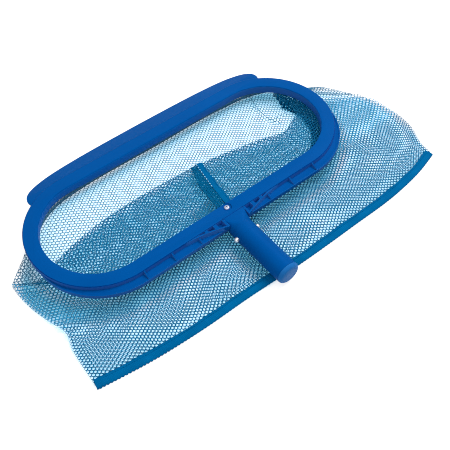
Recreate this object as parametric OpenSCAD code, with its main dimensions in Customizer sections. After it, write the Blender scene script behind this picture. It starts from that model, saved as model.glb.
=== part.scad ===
// Leaf skimmer net: a stadium-shaped moulded ring with a scoop lip, a plug handle with a
// spring lock clip, and a netting bag that is clamped under the ring and lies folded flat.
// The Y axis is the handle's axis, +Y runs from the handle to the scoop lip, and +Z is up.
// The origin is the middle of the stretch of handle that a pole slides over.

/* [Ring] */
// Length of the ring over its outer edge
ring_length = 432; // [400:1:460]
// Width of the ring over its outer edge, without lip and ledge
ring_width = 175.4; // [165:0.2:185]
// Width of the ring's flat top
deck_width = 17.9; // [17:0.1:20]
// Depth of the wall round the mouth of the bag
skirt_depth = 11; // [11:0.5:14]
// How far the scoop lip stands out past the ring
lip_reach = 20; // [14:0.2:24]
// Slope of the scoop lip, in degrees
lip_slope = 8; // [2:0.5:12]
// How far the ribbed ledge stands out on the handle's side
ledge_reach = 10.3; // [8:0.1:12]

/* [Handle] */
// Outside diameter of the plug that the pole slides over
plug_d = 28.4; // [27:0.1:30]
// Wall of the plug
plug_wall = 2.6; // [2:0.1:3.2]
// Distance from the middle of the plug to the middle of the ring
ring_y = 150; // [145:1:160]
// Distance from the middle of the plug to the tip of its end cap
tip_y = 37.5; // [34:0.5:45]
// Height of the ring's top above the handle's axis
deck_z = 13; // [12:0.5:14]

/* [Lock clip] */
// Diameter of the two lock buttons
button_d = 6.4; // [5.5:0.1:7]
// How far a button stands out of the plug
button_out = 4.5; // [3.5:0.1:5]
// Distance from the middle of the plug to the buttons
button_y = 37; // [34:0.5:40]
// Length of a spring arm from the bow to its button
arm_length = 50; // [46:1:54]

/* [Net bag] */
// Thickness of the netting, with its knots
net_t = 0.9; // [0.6:0.1:1]
// Height of the ring's top above the ground that the bag lies on
ground_drop = 31; // [31:0.5:36]
// Width of the sewn band along the bottom of the bag
hem_width = 10; // [8:1:14]
// Diameter of the welt cord in the mouth of the bag
cord_d = 2.6; // [2:0.1:2.6]

/* [Hidden] */

$fn = 96;
blue = "#0056A5";
deep_blue = "#00509A";
teal = "#00678F";
hem_blue = "#0069A0";
steel = "#C9CDD2";

// Ring: outer and inner radius of its round ends, and half of its straight stretch
ring_r = ring_width / 2;
mouth_r = ring_r - deck_width;
half_straight = ring_length / 2 - ring_r;
deck_t = 3;
wall_t = 2.3;
ledge_z = -6.1;
ledge_t = 2.5;
ledge_inset = 1.5;
lip_end = 48;
lip_t = 2.4;
lip_step = 0.9;
edge_in = 1.6;
edge_out = 1.2;
notch_y = 2.2 - ring_r;
seat_gap = 0.08;
neck_half = plug_d / 2 + seat_gap;

// Ribs on the ledge, and the curved gussets that run out to the handle
rib_x = [51.5, 88, 125.5];
rib_t = 1.6;
gusset_x = 85;
gusset_r = 197;
gusset_reach = 16;
pocket_x = [[17, 25.5], [30, 38.5], [42.5, 50.5]];
pocket_reach = 12;
pocket_wall = 1.6;

// Plug, its slightly wider root beside the neck, and the lock clip
plug_r = plug_d / 2;
bore_r = plug_r - plug_wall;
root_r = plug_r + 0.2;
root_y = 31.5;
cap_edge = 4.4;
tube_start = 46;
tube_end = 5.5 - tip_y;
strip_t = 0.8;
strip_w = 6;
bow_r = 9.4;
bow_y = button_y - arm_length;
hinge_gap = 0.3;
button_hole_r = button_d / 2 + 0.4;

// Screw that ties the handle's tongue to the ring
screw_y = -76;
screw_recess = 1.6;
screw_r = 1.9;
tongue_top = -deck_t - 0.1;
tongue_t = 2.5;
tongue_half = 9.9;

// Clamp ring and the edge of the bag that it holds
clamp_in = mouth_r + 4.2;
clamp_out = ring_r - wall_t - 0.2;
clamp_top = -5.9;
clamp_bottom = -skirt_depth - 0.2;
cord_path_r = mouth_r + 5.7;
cord_z = clamp_top - 1.4;
hem_path_r = mouth_r + 3.4;
lug_x = [-100, -50, 50, 100];

// Bag: how its two layers lie. Y values run from the ring's middle, Z values from its top.
ground_z = -ground_drop;
back_z = ground_z + net_t / 2;
front_z = back_z + 1.7;
fold_top_z = ground_z + 10.5;
fold_low_z = ground_z + 3.5;
mouth_z = clamp_bottom - 1.1;
left_split = 205;
right_split = 8;
// Side outlines of the lying bag, as Y and X, from the hem to where they go under the ring
left_side = [[-158, -236], [-147, -234], [-100, -231], [-62, -234], [-49, -240], [-17, -247],
    [10, -245], [39, -210], [50, -190]];
right_side = [[-170, 270], [-144, 277], [-120, 285], [-88, 291], [-54, 288], [-24, 280],
    [5, 270], [26, 245], [50, 200]];
// The front wall's fold and the hem's outer edge, as X and Y
fold_line = [[-246, -5], [-183, 4], [-110, 17], [0, 18], [72, 8], [140, -10], [189, 5], [280, -24]];
hem_bow = [[-236, -158], [-118, -172], [20, -176], [160, -175], [276, -160]];
// Where the back wall comes down to the ground, as place across, X and Y
back_line = [[0, -246, -5], [0.06, -245, 10], [0.13, -230, 25], [0.2, -200, 44], [0.29, -140, 51],
    [0.5, 0, 51], [0.77, 120, 51], [0.87, 200, 50], [0.93, 240, 30], [0.97, 268, 7], [1, 280, -24]];
side_steps = 20;
drop_rows = 5;
turn_rows = 4;
lay_rows = 6;

// ---------- helpers ----------

function mix(a, b, t) = a + (b - a) * t;
function ease(t) = let(c = min(1, max(0, t))) c * c * (3 - 2 * c);
function round_end(angle, r, side) =
    [side * half_straight + r * cos(angle), r * sin(angle)];

// A pill shape round the ring's middle
module stadium(r) {
    square([2 * half_straight, 2 * r], center = true);
    for (side = [-1, 1])
        translate([side * half_straight, 0])
            circle(r);
}

// Sweeps a section, given as radius and height, round the stadium
module stadium_sweep() {
    for (side = [-1, 1]) {
        translate([side * half_straight, 0, 0])
            rotate([0, 0, side * 90 - 180])
                rotate_extrude(angle = 180)
                    children();
        translate([-side * half_straight, 0, 0])
            rotate([90, 0, side * 90])
                linear_extrude(2 * half_straight)
                    children();
    }
}

module at_ring() {
    translate([0, ring_y, deck_z])
        children();
}

module along_x(r, from, to) {
    translate([from, 0, 0])
        rotate([0, 90, 0])
            cylinder(r = r, h = to - from);
}

// ---------- ring ----------

// Quarter circle of a rounded edge whose middle is at x and y
function round_edge(x, y, r, from) =
    [for (a = [from:22.5:from + 90]) [x + r * cos(a), y + r * sin(a)]];

// Channel section: flat top with a deep inner wall and a shorter outer wall
module ring_profile() {
    inner = mouth_r + wall_t;
    outer = ring_r - wall_t;
    low = ledge_z - ledge_t;
    polygon(concat(
        [[mouth_r, -skirt_depth], [inner, -skirt_depth], [inner, -deck_t], [outer, -deck_t],
         [outer, low], [ring_r, low]],
        round_edge(ring_r - edge_out, -edge_out, edge_out, 0),
        round_edge(mouth_r + edge_in, -edge_in, edge_in, 90)));
}

// Half outline of the lip, from its notch at the ring's end to the middle of its edge
function lip_half() =
    let(edge = ring_r + lip_reach, end = half_straight + lip_end) [
        [end - 12, ring_r - 14], [end - 2, ring_r - 17], [end + 1, ring_r - 11], [end + 1, ring_r - 5],
        [end - 3, ring_r + 2], [end - 9, ring_r + 6.5], [end - 20, ring_r + 11],
        [end - 42, edge - 4.2], [end - 78, edge - 1.6], [60, edge - 0.4], [0, edge],
    ];

// Rounds a line by cutting its corners, and keeps its two end points
function cut_corners(line, times) =
    times == 0 ? line :
    let(last = len(line) - 1)
    cut_corners([
        line[0],
        for (i = [0:last - 1]) each [mix(line[i], line[i + 1], 0.25), mix(line[i], line[i + 1], 0.75)],
        line[last],
    ], times - 1);

module lip_outline() {
    half = cut_corners(lip_half(), 2);
    last = len(half) - 1;
    polygon(concat(half, [for (i = [last - 1:-1:0]) [-half[i].x, half[i].y]]));
}

// The lip lies a step below the ring's top. It is level beside the ring's ends and slopes down
// past the ring's straight side.
module scoop_lip() {
    crease = ring_r - 1.7;
    near = ring_r - 30;
    far = ring_r + lip_reach + 10;
    drop = tan(lip_slope) * (far - crease);
    difference() {
        intersection() {
            translate([0, 0, -30])
                linear_extrude(40)
                    lip_outline();
            translate([-half_straight - 80, 0, -lip_step])
                rotate([90, 0, 90])
                    linear_extrude(2 * half_straight + 160)
                        polygon([
                            [near, -lip_t], [near, 0], [crease, 0],
                            [far, -drop], [far, -drop - lip_t], [crease, -lip_t],
                        ]);
        }
        translate([0, 0, -20])
            linear_extrude(40)
                stadium(ring_r - 1);
    }
}

// Webs under the lip
module lip_ribs() {
    root = ring_r - 1;
    tip = ring_r + lip_reach - 5;
    drop = tan(lip_slope) * (tip - root);
    for (x = [-120:40:120])
        translate([x + 0.8, 0, 0])
            rotate([90, 0, -90])
                linear_extrude(rib_t)
                    polygon([[-root, -1.5], [-root, -7.5], [-tip, -drop - 2.6], [-tip, -drop - 1.2]]);
}

module ledge_outline(grow) {
    translate([0, -ledge_reach - ledge_inset])
        stadium(ring_r - ledge_inset + grow);
}

// Ledge on the handle's side: the ring's own outline moved towards the handle, one step lower
module ledge() {
    translate([0, 0, ledge_z - ledge_t])
        linear_extrude(ledge_t)
            difference() {
                ledge_outline(0);
                stadium(ring_r - 1);
            }
    translate([0, 0, -skirt_depth])
        linear_extrude(skirt_depth + ledge_z + 0.6)
            difference() {
                ledge_outline(0);
                ledge_outline(-1.6);
                stadium(ring_r - 1);
            }
}

module ledge_ribs() {
    outer = ring_r + ledge_reach - 0.4;
    for (side = [-1, 1])
        for (x = rib_x)
            translate([side * x + rib_t / 2, 0, 0])
                rotate([90, 0, -90])
                    linear_extrude(rib_t)
                        polygon([
                            [ring_r - 1, -0.2], [ring_r - 1, ledge_z - 1],
                            [outer, ledge_z - 1], [outer, ledge_z + 0.9],
                        ]);
}

// Region between the ring's edge and a gusset curve that is inset by a wall
module gusset_area(inset) {
    root = 0.3;
    difference() {
        translate([-gusset_x, -ring_r - gusset_reach])
            square([gusset_x - neck_half, gusset_reach + root]);
        translate([-gusset_x, -ring_r - gusset_r + 2 * root])
            circle(r = gusset_r + inset, $fn = 256);
    }
}

// Curved gusset beside the handle, with three pockets in its top
module gussets() {
    for (side = [0, 1])
        mirror([side, 0, 0])
            difference() {
                translate([0, 0, ledge_z - 0.1])
                    linear_extrude(0.1 - ledge_z)
                        gusset_area(0);
                translate([0, 0, ledge_z])
                    linear_extrude(20)
                        intersection() {
                            gusset_area(pocket_wall);
                            for (span = pocket_x)
                                translate([-span[1], -ring_r - pocket_reach])
                                    square([span[1] - span[0], pocket_reach]);
                        }
            }
}

module lug(grow) {
    for (x = lug_x)
        for (side = [-1, 1])
            translate([x, side * (clamp_out + 0.2), clamp_top - 2])
                cube([8 + grow, 1.6 + grow, 1.6 + grow], center = true);
}

module frame() {
    color(blue)
        at_ring()
            difference() {
                union() {
                    stadium_sweep()
                        ring_profile();
                    scoop_lip();
                    lip_ribs();
                    ledge();
                    ledge_ribs();
                    gussets();
                }
                translate([-neck_half, notch_y - 30, -30])
                    cube([2 * neck_half, 30, 40]);
                translate([0, screw_y, -screw_recess])
                    cylinder(r = 6, h = 5);
                translate([0, screw_y, -10])
                    cylinder(r = screw_r + 0.3, h = 15);
                lug(0.4);
            }
}

// ---------- clamp ring, welt cord and edge of the bag ----------

module net_clamp_ring() {
    rebate = cord_path_r + 1.7;
    groove_in = mouth_r + 9.2;
    groove_out = ring_r - 4.7;
    groove_top = clamp_top - 2.1;
    color(deep_blue)
        at_ring()
            union() {
                stadium_sweep()
                    polygon([
                        [clamp_in, clamp_bottom], [groove_in, clamp_bottom],
                        [groove_in + 0.6, groove_top], [groove_out - 0.6, groove_top],
                        [groove_out, clamp_bottom], [clamp_out, clamp_bottom], [clamp_out, clamp_top],
                        [rebate, clamp_top], [rebate, cord_z - 1.4], [clamp_in, cord_z - 1.4],
                    ]);
                lug(0);
            }
}

module rim_cord() {
    color(steel)
        at_ring()
            stadium_sweep()
                translate([cord_path_r, cord_z])
                    circle(d = cord_d, $fn = 24);
}

module mouth_hem() {
    color(hem_blue)
        at_ring()
            stadium_sweep()
                translate([hem_path_r - 0.5, mouth_z + 0.3 + net_t / 2])
                    square([1, clamp_top - mouth_z - 0.3 - net_t / 2]);
}

// ---------- net bag ----------

// Stations round the mouth, anticlockwise from the left side of the bag. Each holds the mouth
// point, its place across the bag from 0 to 1, and 1 for the front wall or 0 for the back wall.
function stations() =
    let(
        r = hem_path_r,
        left_front = 270 - left_split,
        right_front = 90 + right_split,
        right_back = 90 - right_split,
        left_back = left_split - 90,
        arc = function(a) a * PI * r / 180,
        straight = 2 * half_straight,
        front = arc(left_front) + straight + arc(right_front),
        back = arc(right_back) + straight + arc(left_back)
    ) [
        for (i = [0:7]) let(a = left_front * i / 8)
            [round_end(left_split + a, r, -1), arc(a) / front, 1],
        for (i = [0:side_steps - 1]) let(d = straight * i / side_steps)
            [[d - half_straight, -r], (arc(left_front) + d) / front, 1],
        for (i = [0:11]) let(a = right_front * i / 12)
            [round_end(270 + a, r, 1), (arc(left_front) + straight + arc(a)) / front, 1],
        for (i = [0:9]) let(a = right_back * i / 10)
            [round_end(right_split + a, r, 1), 1 - arc(a) / back, 0],
        for (i = [0:side_steps - 1]) let(d = straight * i / side_steps)
            [[half_straight - d, r], 1 - (arc(right_back) + d) / back, 0],
        for (i = [0:13]) let(a = left_back * i / 14)
            [round_end(90 + a, r, -1), 1 - (arc(right_back) + straight + arc(a)) / back, 0],
    ];

// X of a point of a lying layer, from its Y and its place between the two side outlines
function lying_x(y, across) = mix(lookup(y, left_side), lookup(y, right_side), across);

// How much of the inward fold a station has: none on the back wall, all on most of the front
function fold_share(s) = s[2] * ease(s[1] / 0.1) * ease((1 - s[1]) / 0.1);

// Where the wall reaches the ground (back) or its fold (front)
function turn_point(s) =
    let(t = s[1], x = mix(fold_line[0][0], fold_line[len(fold_line) - 1][0], t))
    s[2] == 1 ? [x, lookup(x, fold_line)] :
    [lookup(t, [for (p = back_line) [p[0], p[1]]]), lookup(t, [for (p = back_line) [p[0], p[2]]])];

function hem_point(s) =
    let(x = mix(-234, 270, s[1]))
    [x, lookup(x, hem_bow) + hem_width + 0.3];

// One wall line from the mouth to the hem
function wall_line(s) =
    let(
        w = fold_share(s),
        m = s[0],
        f = turn_point(s),
        h = hem_point(s),
        start_across = (f.x - lying_x(f.y, 0)) / (lying_x(f.y, 1) - lying_x(f.y, 0)),
        away = (h - f) / norm(h - f),
        edge = ease(s[1] / 0.04) * ease((1 - s[1]) / 0.04),
        side_z = back_z + 0.7,
        back = mix(side_z, back_z, edge),
        low = s[2] == 1 ? mix(side_z, fold_low_z, w) : back,
        top = s[2] == 1 ? mix(side_z + 0.7, fold_top_z, w) : back + 0.3,
        rest = s[2] == 1 ? mix(side_z, front_z, edge) : back,
        r = (top - low) / 2,
        run = 8
    ) [
        for (i = [0:drop_rows - 1]) let(t = i / drop_rows, p = mix(m, f, t))
            [p.x, p.y, mix(mouth_z, top, mix(pow(t, 0.8), ease(t), 1 - w))],
        for (i = [0:turn_rows - 1]) let(
                t = i / turn_rows,
                p = f + mix(away * run * t, -away * r * sin(180 * t), w)
            )
            [p.x, p.y, mix(top, low, (1 - cos(180 * t)) / 2)],
        for (i = [0:lay_rows]) let(
                t = i / lay_rows,
                y = mix(mix(f.y + away.y * run, f.y, w), h.y, t),
                x = lying_x(y, mix(start_across, s[1], ease(t))),
                first = f.x + away.x * run * (1 - w)
            )
            [mix(first, x, min(1, t * 3)), y, mix(low, rest, ease(t * 1.6))],
    ];

function cross_unit(a, b) = let(c = cross(a, b)) c / norm(c);

// Skin of a grid of wall lines: offset by half the thickness to each side and closed at the rims
module skin(lines, t, closed) {
    nu = len(lines);
    nv = len(lines[0]);
    spans = closed ? nu : nu - 1;
    normal = [for (i = [0:nu - 1]) [for (j = [0:nv - 1])
        let(
            ia = closed ? (i + nu - 1) % nu : max(0, i - 1),
            ib = closed ? (i + 1) % nu : min(nu - 1, i + 1)
        )
        cross_unit(lines[ib][j] - lines[ia][j], lines[i][min(nv - 1, j + 1)] - lines[i][max(0, j - 1)])]];
    upper = [for (i = [0:nu - 1]) for (j = [0:nv - 1]) lines[i][j] + normal[i][j] * t / 2];
    lower = [for (i = [0:nu - 1]) for (j = [0:nv - 1]) lines[i][j] - normal[i][j] * t / 2];
    base = nu * nv;
    at = function(i, j) (i % nu) * nv + j;
    quad = function(a, b, c, d) [[a, b, c], [a, c, d]];
    faces = [
        for (i = [0:spans - 1]) for (j = [0:nv - 2]) each concat(
            quad(at(i, j), at(i, j + 1), at(i + 1, j + 1), at(i + 1, j)),
            quad(base + at(i, j), base + at(i + 1, j), base + at(i + 1, j + 1), base + at(i, j + 1))),
        for (i = [0:spans - 1]) each concat(
            quad(at(i, 0), at(i + 1, 0), base + at(i + 1, 0), base + at(i, 0)),
            quad(at(i, nv - 1), base + at(i, nv - 1), base + at(i + 1, nv - 1), at(i + 1, nv - 1))),
        if (!closed) for (j = [0:nv - 2]) each concat(
            quad(at(0, j), base + at(0, j), base + at(0, j + 1), at(0, j + 1)),
            quad(at(nu - 1, j), at(nu - 1, j + 1), base + at(nu - 1, j + 1), base + at(nu - 1, j))),
    ];
    polyhedron(points = concat(upper, lower), faces = faces);
}

module net_bag() {
    color(teal)
        at_ring()
            skin([for (s = stations()) wall_line(s)], net_t, true);
}

// Tape over the join of the netting, on the inside of the front wall
module centre_seam() {
    half = 4;
    lift = net_t / 2 + 0.55;
    front_span = 560;
    line = function(dx)
        let(full = wall_line([[dx, -hem_path_r], 0.5 + dx / front_span, 1]))
        [for (j = [1:drop_rows + 2])
            full[j] + (j > drop_rows ? [0, lift * 0.8, lift * 0.4] : [0, 0, lift])];
    color(hem_blue)
        at_ring()
            skin([for (dx = [-half:half / 2:half]) line(dx)], 0.7, false);
}

module bottom_hem() {
    steps = 24;
    xs = [for (i = [0:steps]) mix(-236, 276, i / steps)];
    color(hem_blue)
        at_ring()
            translate([0, 0, ground_z])
                linear_extrude(2.7)
                    polygon(concat(
                        [for (x = xs) [x, lookup(x, hem_bow)]],
                        [for (i = [steps:-1:0]) [xs[i], lookup(xs[i], hem_bow) + hem_width]]));
}

// ---------- handle ----------

// Neck that runs from the square shoulder in the ring's notch to the round plug
module neck() {
    bevel = 0.4;
    low = deck_z - 12;
    hull() {
        translate([0, ring_y + notch_y - seat_gap, 0])
            rotate([90, 0, 0])
                linear_extrude(6)
                    polygon([
                        [-plug_r, low], [plug_r, low], [plug_r, deck_z - bevel],
                        [plug_r - bevel, deck_z], [bevel - plug_r, deck_z], [-plug_r, deck_z - bevel],
                    ]);
        translate([0, tube_start + 1, 0])
            rotate([90, 0, 0])
                cylinder(r = root_r, h = 1, $fn = 32);
    }
}

module handle() {
    color(blue)
        difference() {
            union() {
                neck();
                translate([0, tube_start, 0])
                    rotate([90, 0, 0])
                        cylinder(r = root_r, h = tube_start - root_y);
                translate([0, root_y, 0])
                    rotate([90, 0, 0])
                        cylinder(r = plug_r, h = root_y - tube_end);
                translate([-tongue_half, ring_y + notch_y - 1, deck_z + tongue_top - tongue_t])
                    cube([2 * tongue_half, deck_width - 5.4, tongue_t]);
            }
            translate([0, tube_start - 3, 0])
                rotate([90, 0, 0])
                    cylinder(r = bore_r, h = tube_start - tube_end);
            translate([0, button_y, 0])
                along_x(button_hole_r, -20, 20);
            translate([0, ring_y + screw_y, deck_z - 10])
                cylinder(r = screw_r + 0.05, h = 10);
        }
}

// Cap with a softly rounded edge that closes the plug behind the clip
module end_cap() {
    spigot_r = bore_r - 0.05;
    color(blue)
        translate([0, tube_end, 0])
            rotate([90, 0, 0])
                rotate_extrude()
                    polygon(concat(
                        [[0, -8], [spigot_r - 0.5, -8], [spigot_r, -7], [spigot_r, 0], [plug_r, 0]],
                        [for (a = [0:15:90]) [plug_r - cap_edge * (1 - cos(a)), 1 + cap_edge * sin(a)]],
                        [[0, 5.5]]));
}

module handle_screw() {
    head_z = deck_z - screw_recess;
    color(steel)
        translate([0, ring_y + screw_y, head_z])
            difference() {
                union() {
                    rotate_extrude()
                        polygon(concat([[0, 0], [3.3, 0], [3.3, 0.8]],
                            [for (a = [15:15:90]) [3.3 * cos(a), 0.8 + 1.5 * sin(a)]]));
                    translate([0, 0, -3.9])
                        cylinder(r = screw_r, h = 4);
                }
                for (turn = [0, 90])
                    rotate([0, 0, turn])
                        translate([-1.7, -0.45, 1])
                            cube([3.4, 0.9, 3]);
            }
}

// ---------- lock clip ----------

module spring_bow() {
    color(steel)
        translate([0, bow_y, -strip_w / 2])
            rotate([0, 0, 180])
                rotate_extrude(angle = 180)
                    translate([bow_r - strip_t / 2, 0])
                        square([strip_t, strip_w]);
}

module spring_arm(side) {
    start = bow_y + hinge_gap;
    color(steel)
        translate([side * bow_r, 0, 0])
            difference() {
                translate([-strip_t / 2, start, -strip_w / 2])
                    cube([strip_t, button_y + 4 - start, strip_w]);
                translate([0, button_y, 0])
                    along_x(1.35, -2, 2);
            }
}

// Domed button with its rivet through the spring arm
module button(side) {
    seat = bow_r + strip_t / 2;
    r = button_d / 2;
    tip = plug_r + button_out;
    color("#E4E7EA")
        translate([0, button_y, 0])
            rotate([0, side * 90, 0])
                rotate_extrude($fn = 48)
                    polygon(concat(
                        [[0, seat - 1.7], [2, seat - 1.7], [2, seat - 0.9], [1.3, seat - 0.9], [1.3, seat],
                         [3.3, seat], [3.3, seat + 0.8], [r, seat + 0.8]],
                        [for (a = [0:10:90]) [r * cos(a), tip - r + r * sin(a)]]));
}

module left_spring_arm() {
    spring_arm(-1);
}

module right_spring_arm() {
    spring_arm(1);
}

module left_button() {
    button(-1);
}

module right_button() {
    button(1);
}

frame();
net_clamp_ring();
rim_cord();
mouth_hem();
net_bag();
centre_seam();
bottom_hem();
handle();
end_cap();
handle_screw();
spring_bow();
left_spring_arm();
right_spring_arm();
left_button();
right_button();
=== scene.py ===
"""Looks of the leaf skimmer net: moulded ring, plug handle, lock clip and netting bag."""

import logging
import math
from dataclasses import dataclass, field
from enum import Enum
from typing import Callable, Sequence

import bpy
import numpy as np
from mathutils import Matrix, Vector

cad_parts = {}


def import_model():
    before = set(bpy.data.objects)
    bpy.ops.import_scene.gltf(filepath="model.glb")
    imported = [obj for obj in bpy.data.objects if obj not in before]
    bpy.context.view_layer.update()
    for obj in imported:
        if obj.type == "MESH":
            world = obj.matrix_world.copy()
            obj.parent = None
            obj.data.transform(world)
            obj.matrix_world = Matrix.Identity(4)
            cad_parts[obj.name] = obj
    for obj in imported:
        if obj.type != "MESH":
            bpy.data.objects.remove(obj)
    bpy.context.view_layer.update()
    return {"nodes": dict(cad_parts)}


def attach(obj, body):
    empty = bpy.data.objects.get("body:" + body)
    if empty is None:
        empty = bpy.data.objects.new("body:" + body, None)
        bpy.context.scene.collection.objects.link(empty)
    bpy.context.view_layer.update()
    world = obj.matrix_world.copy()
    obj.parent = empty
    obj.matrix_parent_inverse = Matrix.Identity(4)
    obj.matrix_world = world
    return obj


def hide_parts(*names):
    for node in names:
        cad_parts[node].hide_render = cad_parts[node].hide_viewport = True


LOG = logging.getLogger("skimmer_net")
MM = 0.001

# The middle of the ring's top, in the row frame. The bag's numbers run from it, in millimetres.
RING_MIDDLE = np.array((0.0, 150.0, 13.0))
# Half of the ring's straight sides, which is how far out the middles of its round ends are
HALF_STRAIGHT = 128.3
GROUND_Z = -31.0
# Half waves that a wave texture of scale 1 has on one unit of length, about 20 / pi
HALF_WAVES = 6.28
UP = np.array((0.0, 0.0, 1.0))

Piece = bpy.types.Object
Material = bpy.types.Material
Tree = bpy.types.NodeTree
Node = bpy.types.Node
Socket = bpy.types.NodeSocket


# ---------------------------------------------------------------- colour and nodes


def linear(hex_colour: str, alpha: float = 1.0) -> tuple[float, float, float, float]:
    """Turns an sRGB hex colour to Blender's linear one.

    Args:
        hex_colour: The colour, such as "#0056A5".
        alpha: The fourth number of the result.

    Returns:
        Red, green, blue and alpha.
    """
    parts = [int(hex_colour[i : i + 2], 16) / 255 for i in (1, 3, 5)]
    red, green, blue = (c / 12.92 if c <= 0.04045 else ((c + 0.055) / 1.055) ** 2.4 for c in parts)
    return red, green, blue, alpha


def add_node(
    tree: Tree,
    kind: str,
    settings: dict | None = None,
    inputs: dict | None = None,
    stops: Sequence[tuple[float, str]] = (),
) -> Node:
    """Adds a node, sets its properties, and fills or links its inputs.

    Args:
        tree: The node tree.
        kind: The node's type, as it goes on after "ShaderNode".
        settings: Properties by name.
        inputs: Values, output sockets, or nodes whose first output is meant, by input name or number.
        stops: Places and sRGB hex colours, where the node has a colour ramp.

    Returns:
        The new node.
    """
    node = tree.nodes.new(f"ShaderNode{kind}")
    for name, value in (settings or {}).items():
        setattr(node, name, value)
    for name, value in (inputs or {}).items():
        if isinstance(value, Node):
            value = value.outputs[0]
        if isinstance(value, Socket):
            tree.links.new(value, node.inputs[name])
        else:
            node.inputs[name].default_value = value
    for number, (place, colour) in enumerate(stops):
        if number >= len(node.color_ramp.elements):
            node.color_ramp.elements.new(1.0)
        element = node.color_ramp.elements[number]
        element.position = place
        element.color = linear(colour)
    return node


def from_long_axis(tree: Tree, place: Socket, aside: Sequence[float] = (0, 0)) -> Socket:
    """Adds nodes for the distance from the line between the middles of the ring's two round ends.

    Args:
        tree: The node tree.
        place: Coordinates in the row frame.
        aside: X and Y that shift the line, in mm.

    Returns:
        The distance in metres.
    """
    middle = tuple((RING_MIDDLE[:2] + aside) * MM)
    local = add_node(tree, "VectorMath", {"operation": "SUBTRACT"}, {0: place, 1: (*middle, 0.0)})
    parts = add_node(tree, "SeparateXYZ", inputs={0: local})
    along = add_node(tree, "Math", {"operation": "ABSOLUTE"}, {0: parts.outputs["X"]})
    past = add_node(tree, "Math", {"operation": "SUBTRACT"}, {0: along, 1: HALF_STRAIGHT * MM})
    past_end = add_node(tree, "Math", {"operation": "MAXIMUM"}, {0: past, 1: 0.0})
    away = add_node(tree, "CombineXYZ", inputs={"X": past_end, "Y": parts.outputs["Y"]})
    return add_node(tree, "VectorMath", {"operation": "LENGTH"}, {0: away}).outputs["Value"]


def dress(piece: Piece, material: Material) -> None:
    """Puts one material on the whole of a piece.

    Args:
        piece: The piece.
        material: Its only material from now on.
    """
    if not piece.data.materials:
        piece.data.materials.append(material)
    for i in range(len(piece.data.materials)):
        piece.data.materials[i] = material


# ---------------------------------------------------------------- finishes


@dataclass(frozen=True)
class Finish:
    """A material that is named for what it is and ends in one Principled shader."""

    name: str

    def skin(self, tree: Tree) -> dict:
        """Adds the nodes of the finish's own pattern.

        Args:
            tree: The material's node tree.

        Returns:
            What the shader's inputs get, by name.
        """
        raise NotImplementedError

    def build(self) -> Material:
        """Makes the material.

        Returns:
            The material.
        """
        material = bpy.data.materials.new(self.name)
        material.use_nodes = True
        tree = material.node_tree
        tree.nodes.clear()
        shader = add_node(tree, "BsdfPrincipled", inputs=self.skin(tree))
        add_node(tree, "OutputMaterial", inputs={"Surface": shader})
        return material


@dataclass(frozen=True)
class MouldedPlastic(Finish):
    """Injection-moulded polypropylene.

    The mould gives it a satin skin with a faint orange-peel, and the melt's flow shows as soft marks. A fine
    groove runs round the ring's deck, near its outer edge, and painted shade darkens it.
    """

    colour: str
    deep: str
    # The colour towards the ring's left end, where it differs, and the stretch of X over which it changes;
    # the throat wall uses it for painted light
    left: str = ""
    change_mm: tuple[float, float] = (20.0, 160.0)
    roughness: float = 0.42
    flow_mm: float = 71.43
    grain_mm: float = 1.4
    peel_mm: float = 0.2
    groove_at_mm: float = 87.3
    groove_half_mm: float = 0.6
    groove_depth_mm: float = 0.5
    # Painted shade: the groove's colour is multiplied by this darker violet
    groove_painted_shade: str = "#C0B4E0"
    sheen: str = "#2C86FF"

    def skin(self, tree: Tree) -> dict:
        """Adds soft mottling from the melt's flow, fine grain in the gloss, and the groove with its painted
        shade.

        Args:
            tree: The material's node tree.

        Returns:
            What the shader's inputs get, by name.
        """
        place = add_node(tree, "TexCoord").outputs["Object"]
        large = {"Vector": place, "Scale": 1 / (self.flow_mm * MM), "Detail": 3.0}
        flow = add_node(tree, "TexNoise", inputs=large).outputs["Fac"]
        marks = ((0.25, self.deep), (0.75, self.colour))
        tint = add_node(tree, "ValToRGB", inputs={"Fac": flow}, stops=marks).outputs["Color"]
        # Painted light: the tone changes towards the ring's left end, where light falls on the wall
        # differently
        if self.left:
            x = add_node(tree, "SeparateXYZ", inputs={0: place}).outputs["X"]
            low, high = (v * MM for v in self.change_mm)
            right = add_node(tree, "MapRange", inputs={"Value": x, "From Min": low, "From Max": high})
            both = {0: right, 6: linear(self.left), 7: tint}
            tint = add_node(tree, "Mix", {"data_type": "RGBA"}, both).outputs[2]
        reach = from_long_axis(tree, place)
        off = add_node(tree, "Math", {"operation": "SUBTRACT"}, {0: reach, 1: self.groove_at_mm * MM})
        off = add_node(tree, "Math", {"operation": "ABSOLUTE"}, {0: off})
        open_deck = add_node(tree, "MapRange", inputs={"Value": off, "From Max": self.groove_half_mm * MM})
        in_groove = add_node(tree, "Math", {"operation": "SUBTRACT"}, {0: 1.0, 1: open_deck})
        # Painted shade darkens the colour in the groove
        grooved = {0: in_groove, 6: tint, 7: linear(self.groove_painted_shade)}
        groove_shaded = add_node(tree, "Mix", {"data_type": "RGBA", "blend_type": "MULTIPLY"}, grooved)
        fine = {"Vector": place, "Scale": 1 / (self.grain_mm * MM), "Detail": 2.0}
        grain = add_node(tree, "TexNoise", inputs=fine).outputs["Fac"]
        range_of_gloss = {"To Min": self.roughness - 0.05, "To Max": self.roughness + 0.06}
        gloss = add_node(tree, "MapRange", inputs={"Value": flow, **range_of_gloss})
        shallow = {"Strength": 0.06, "Distance": self.peel_mm * MM}
        peel = add_node(tree, "Bump", inputs={**shallow, "Height": grain})
        depth = {"Strength": 0.7, "Distance": self.groove_depth_mm * MM}
        groove = add_node(tree, "Bump", inputs={**depth, "Height": open_deck, "Normal": peel})
        return {
            "Base Color": groove_shaded.outputs[2],
            "Roughness": gloss,
            "Normal": groove,
            "IOR": 1.49,
            "Specular IOR Level": 0.08,
            "Specular Tint": linear(self.sheen),
        }


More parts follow.
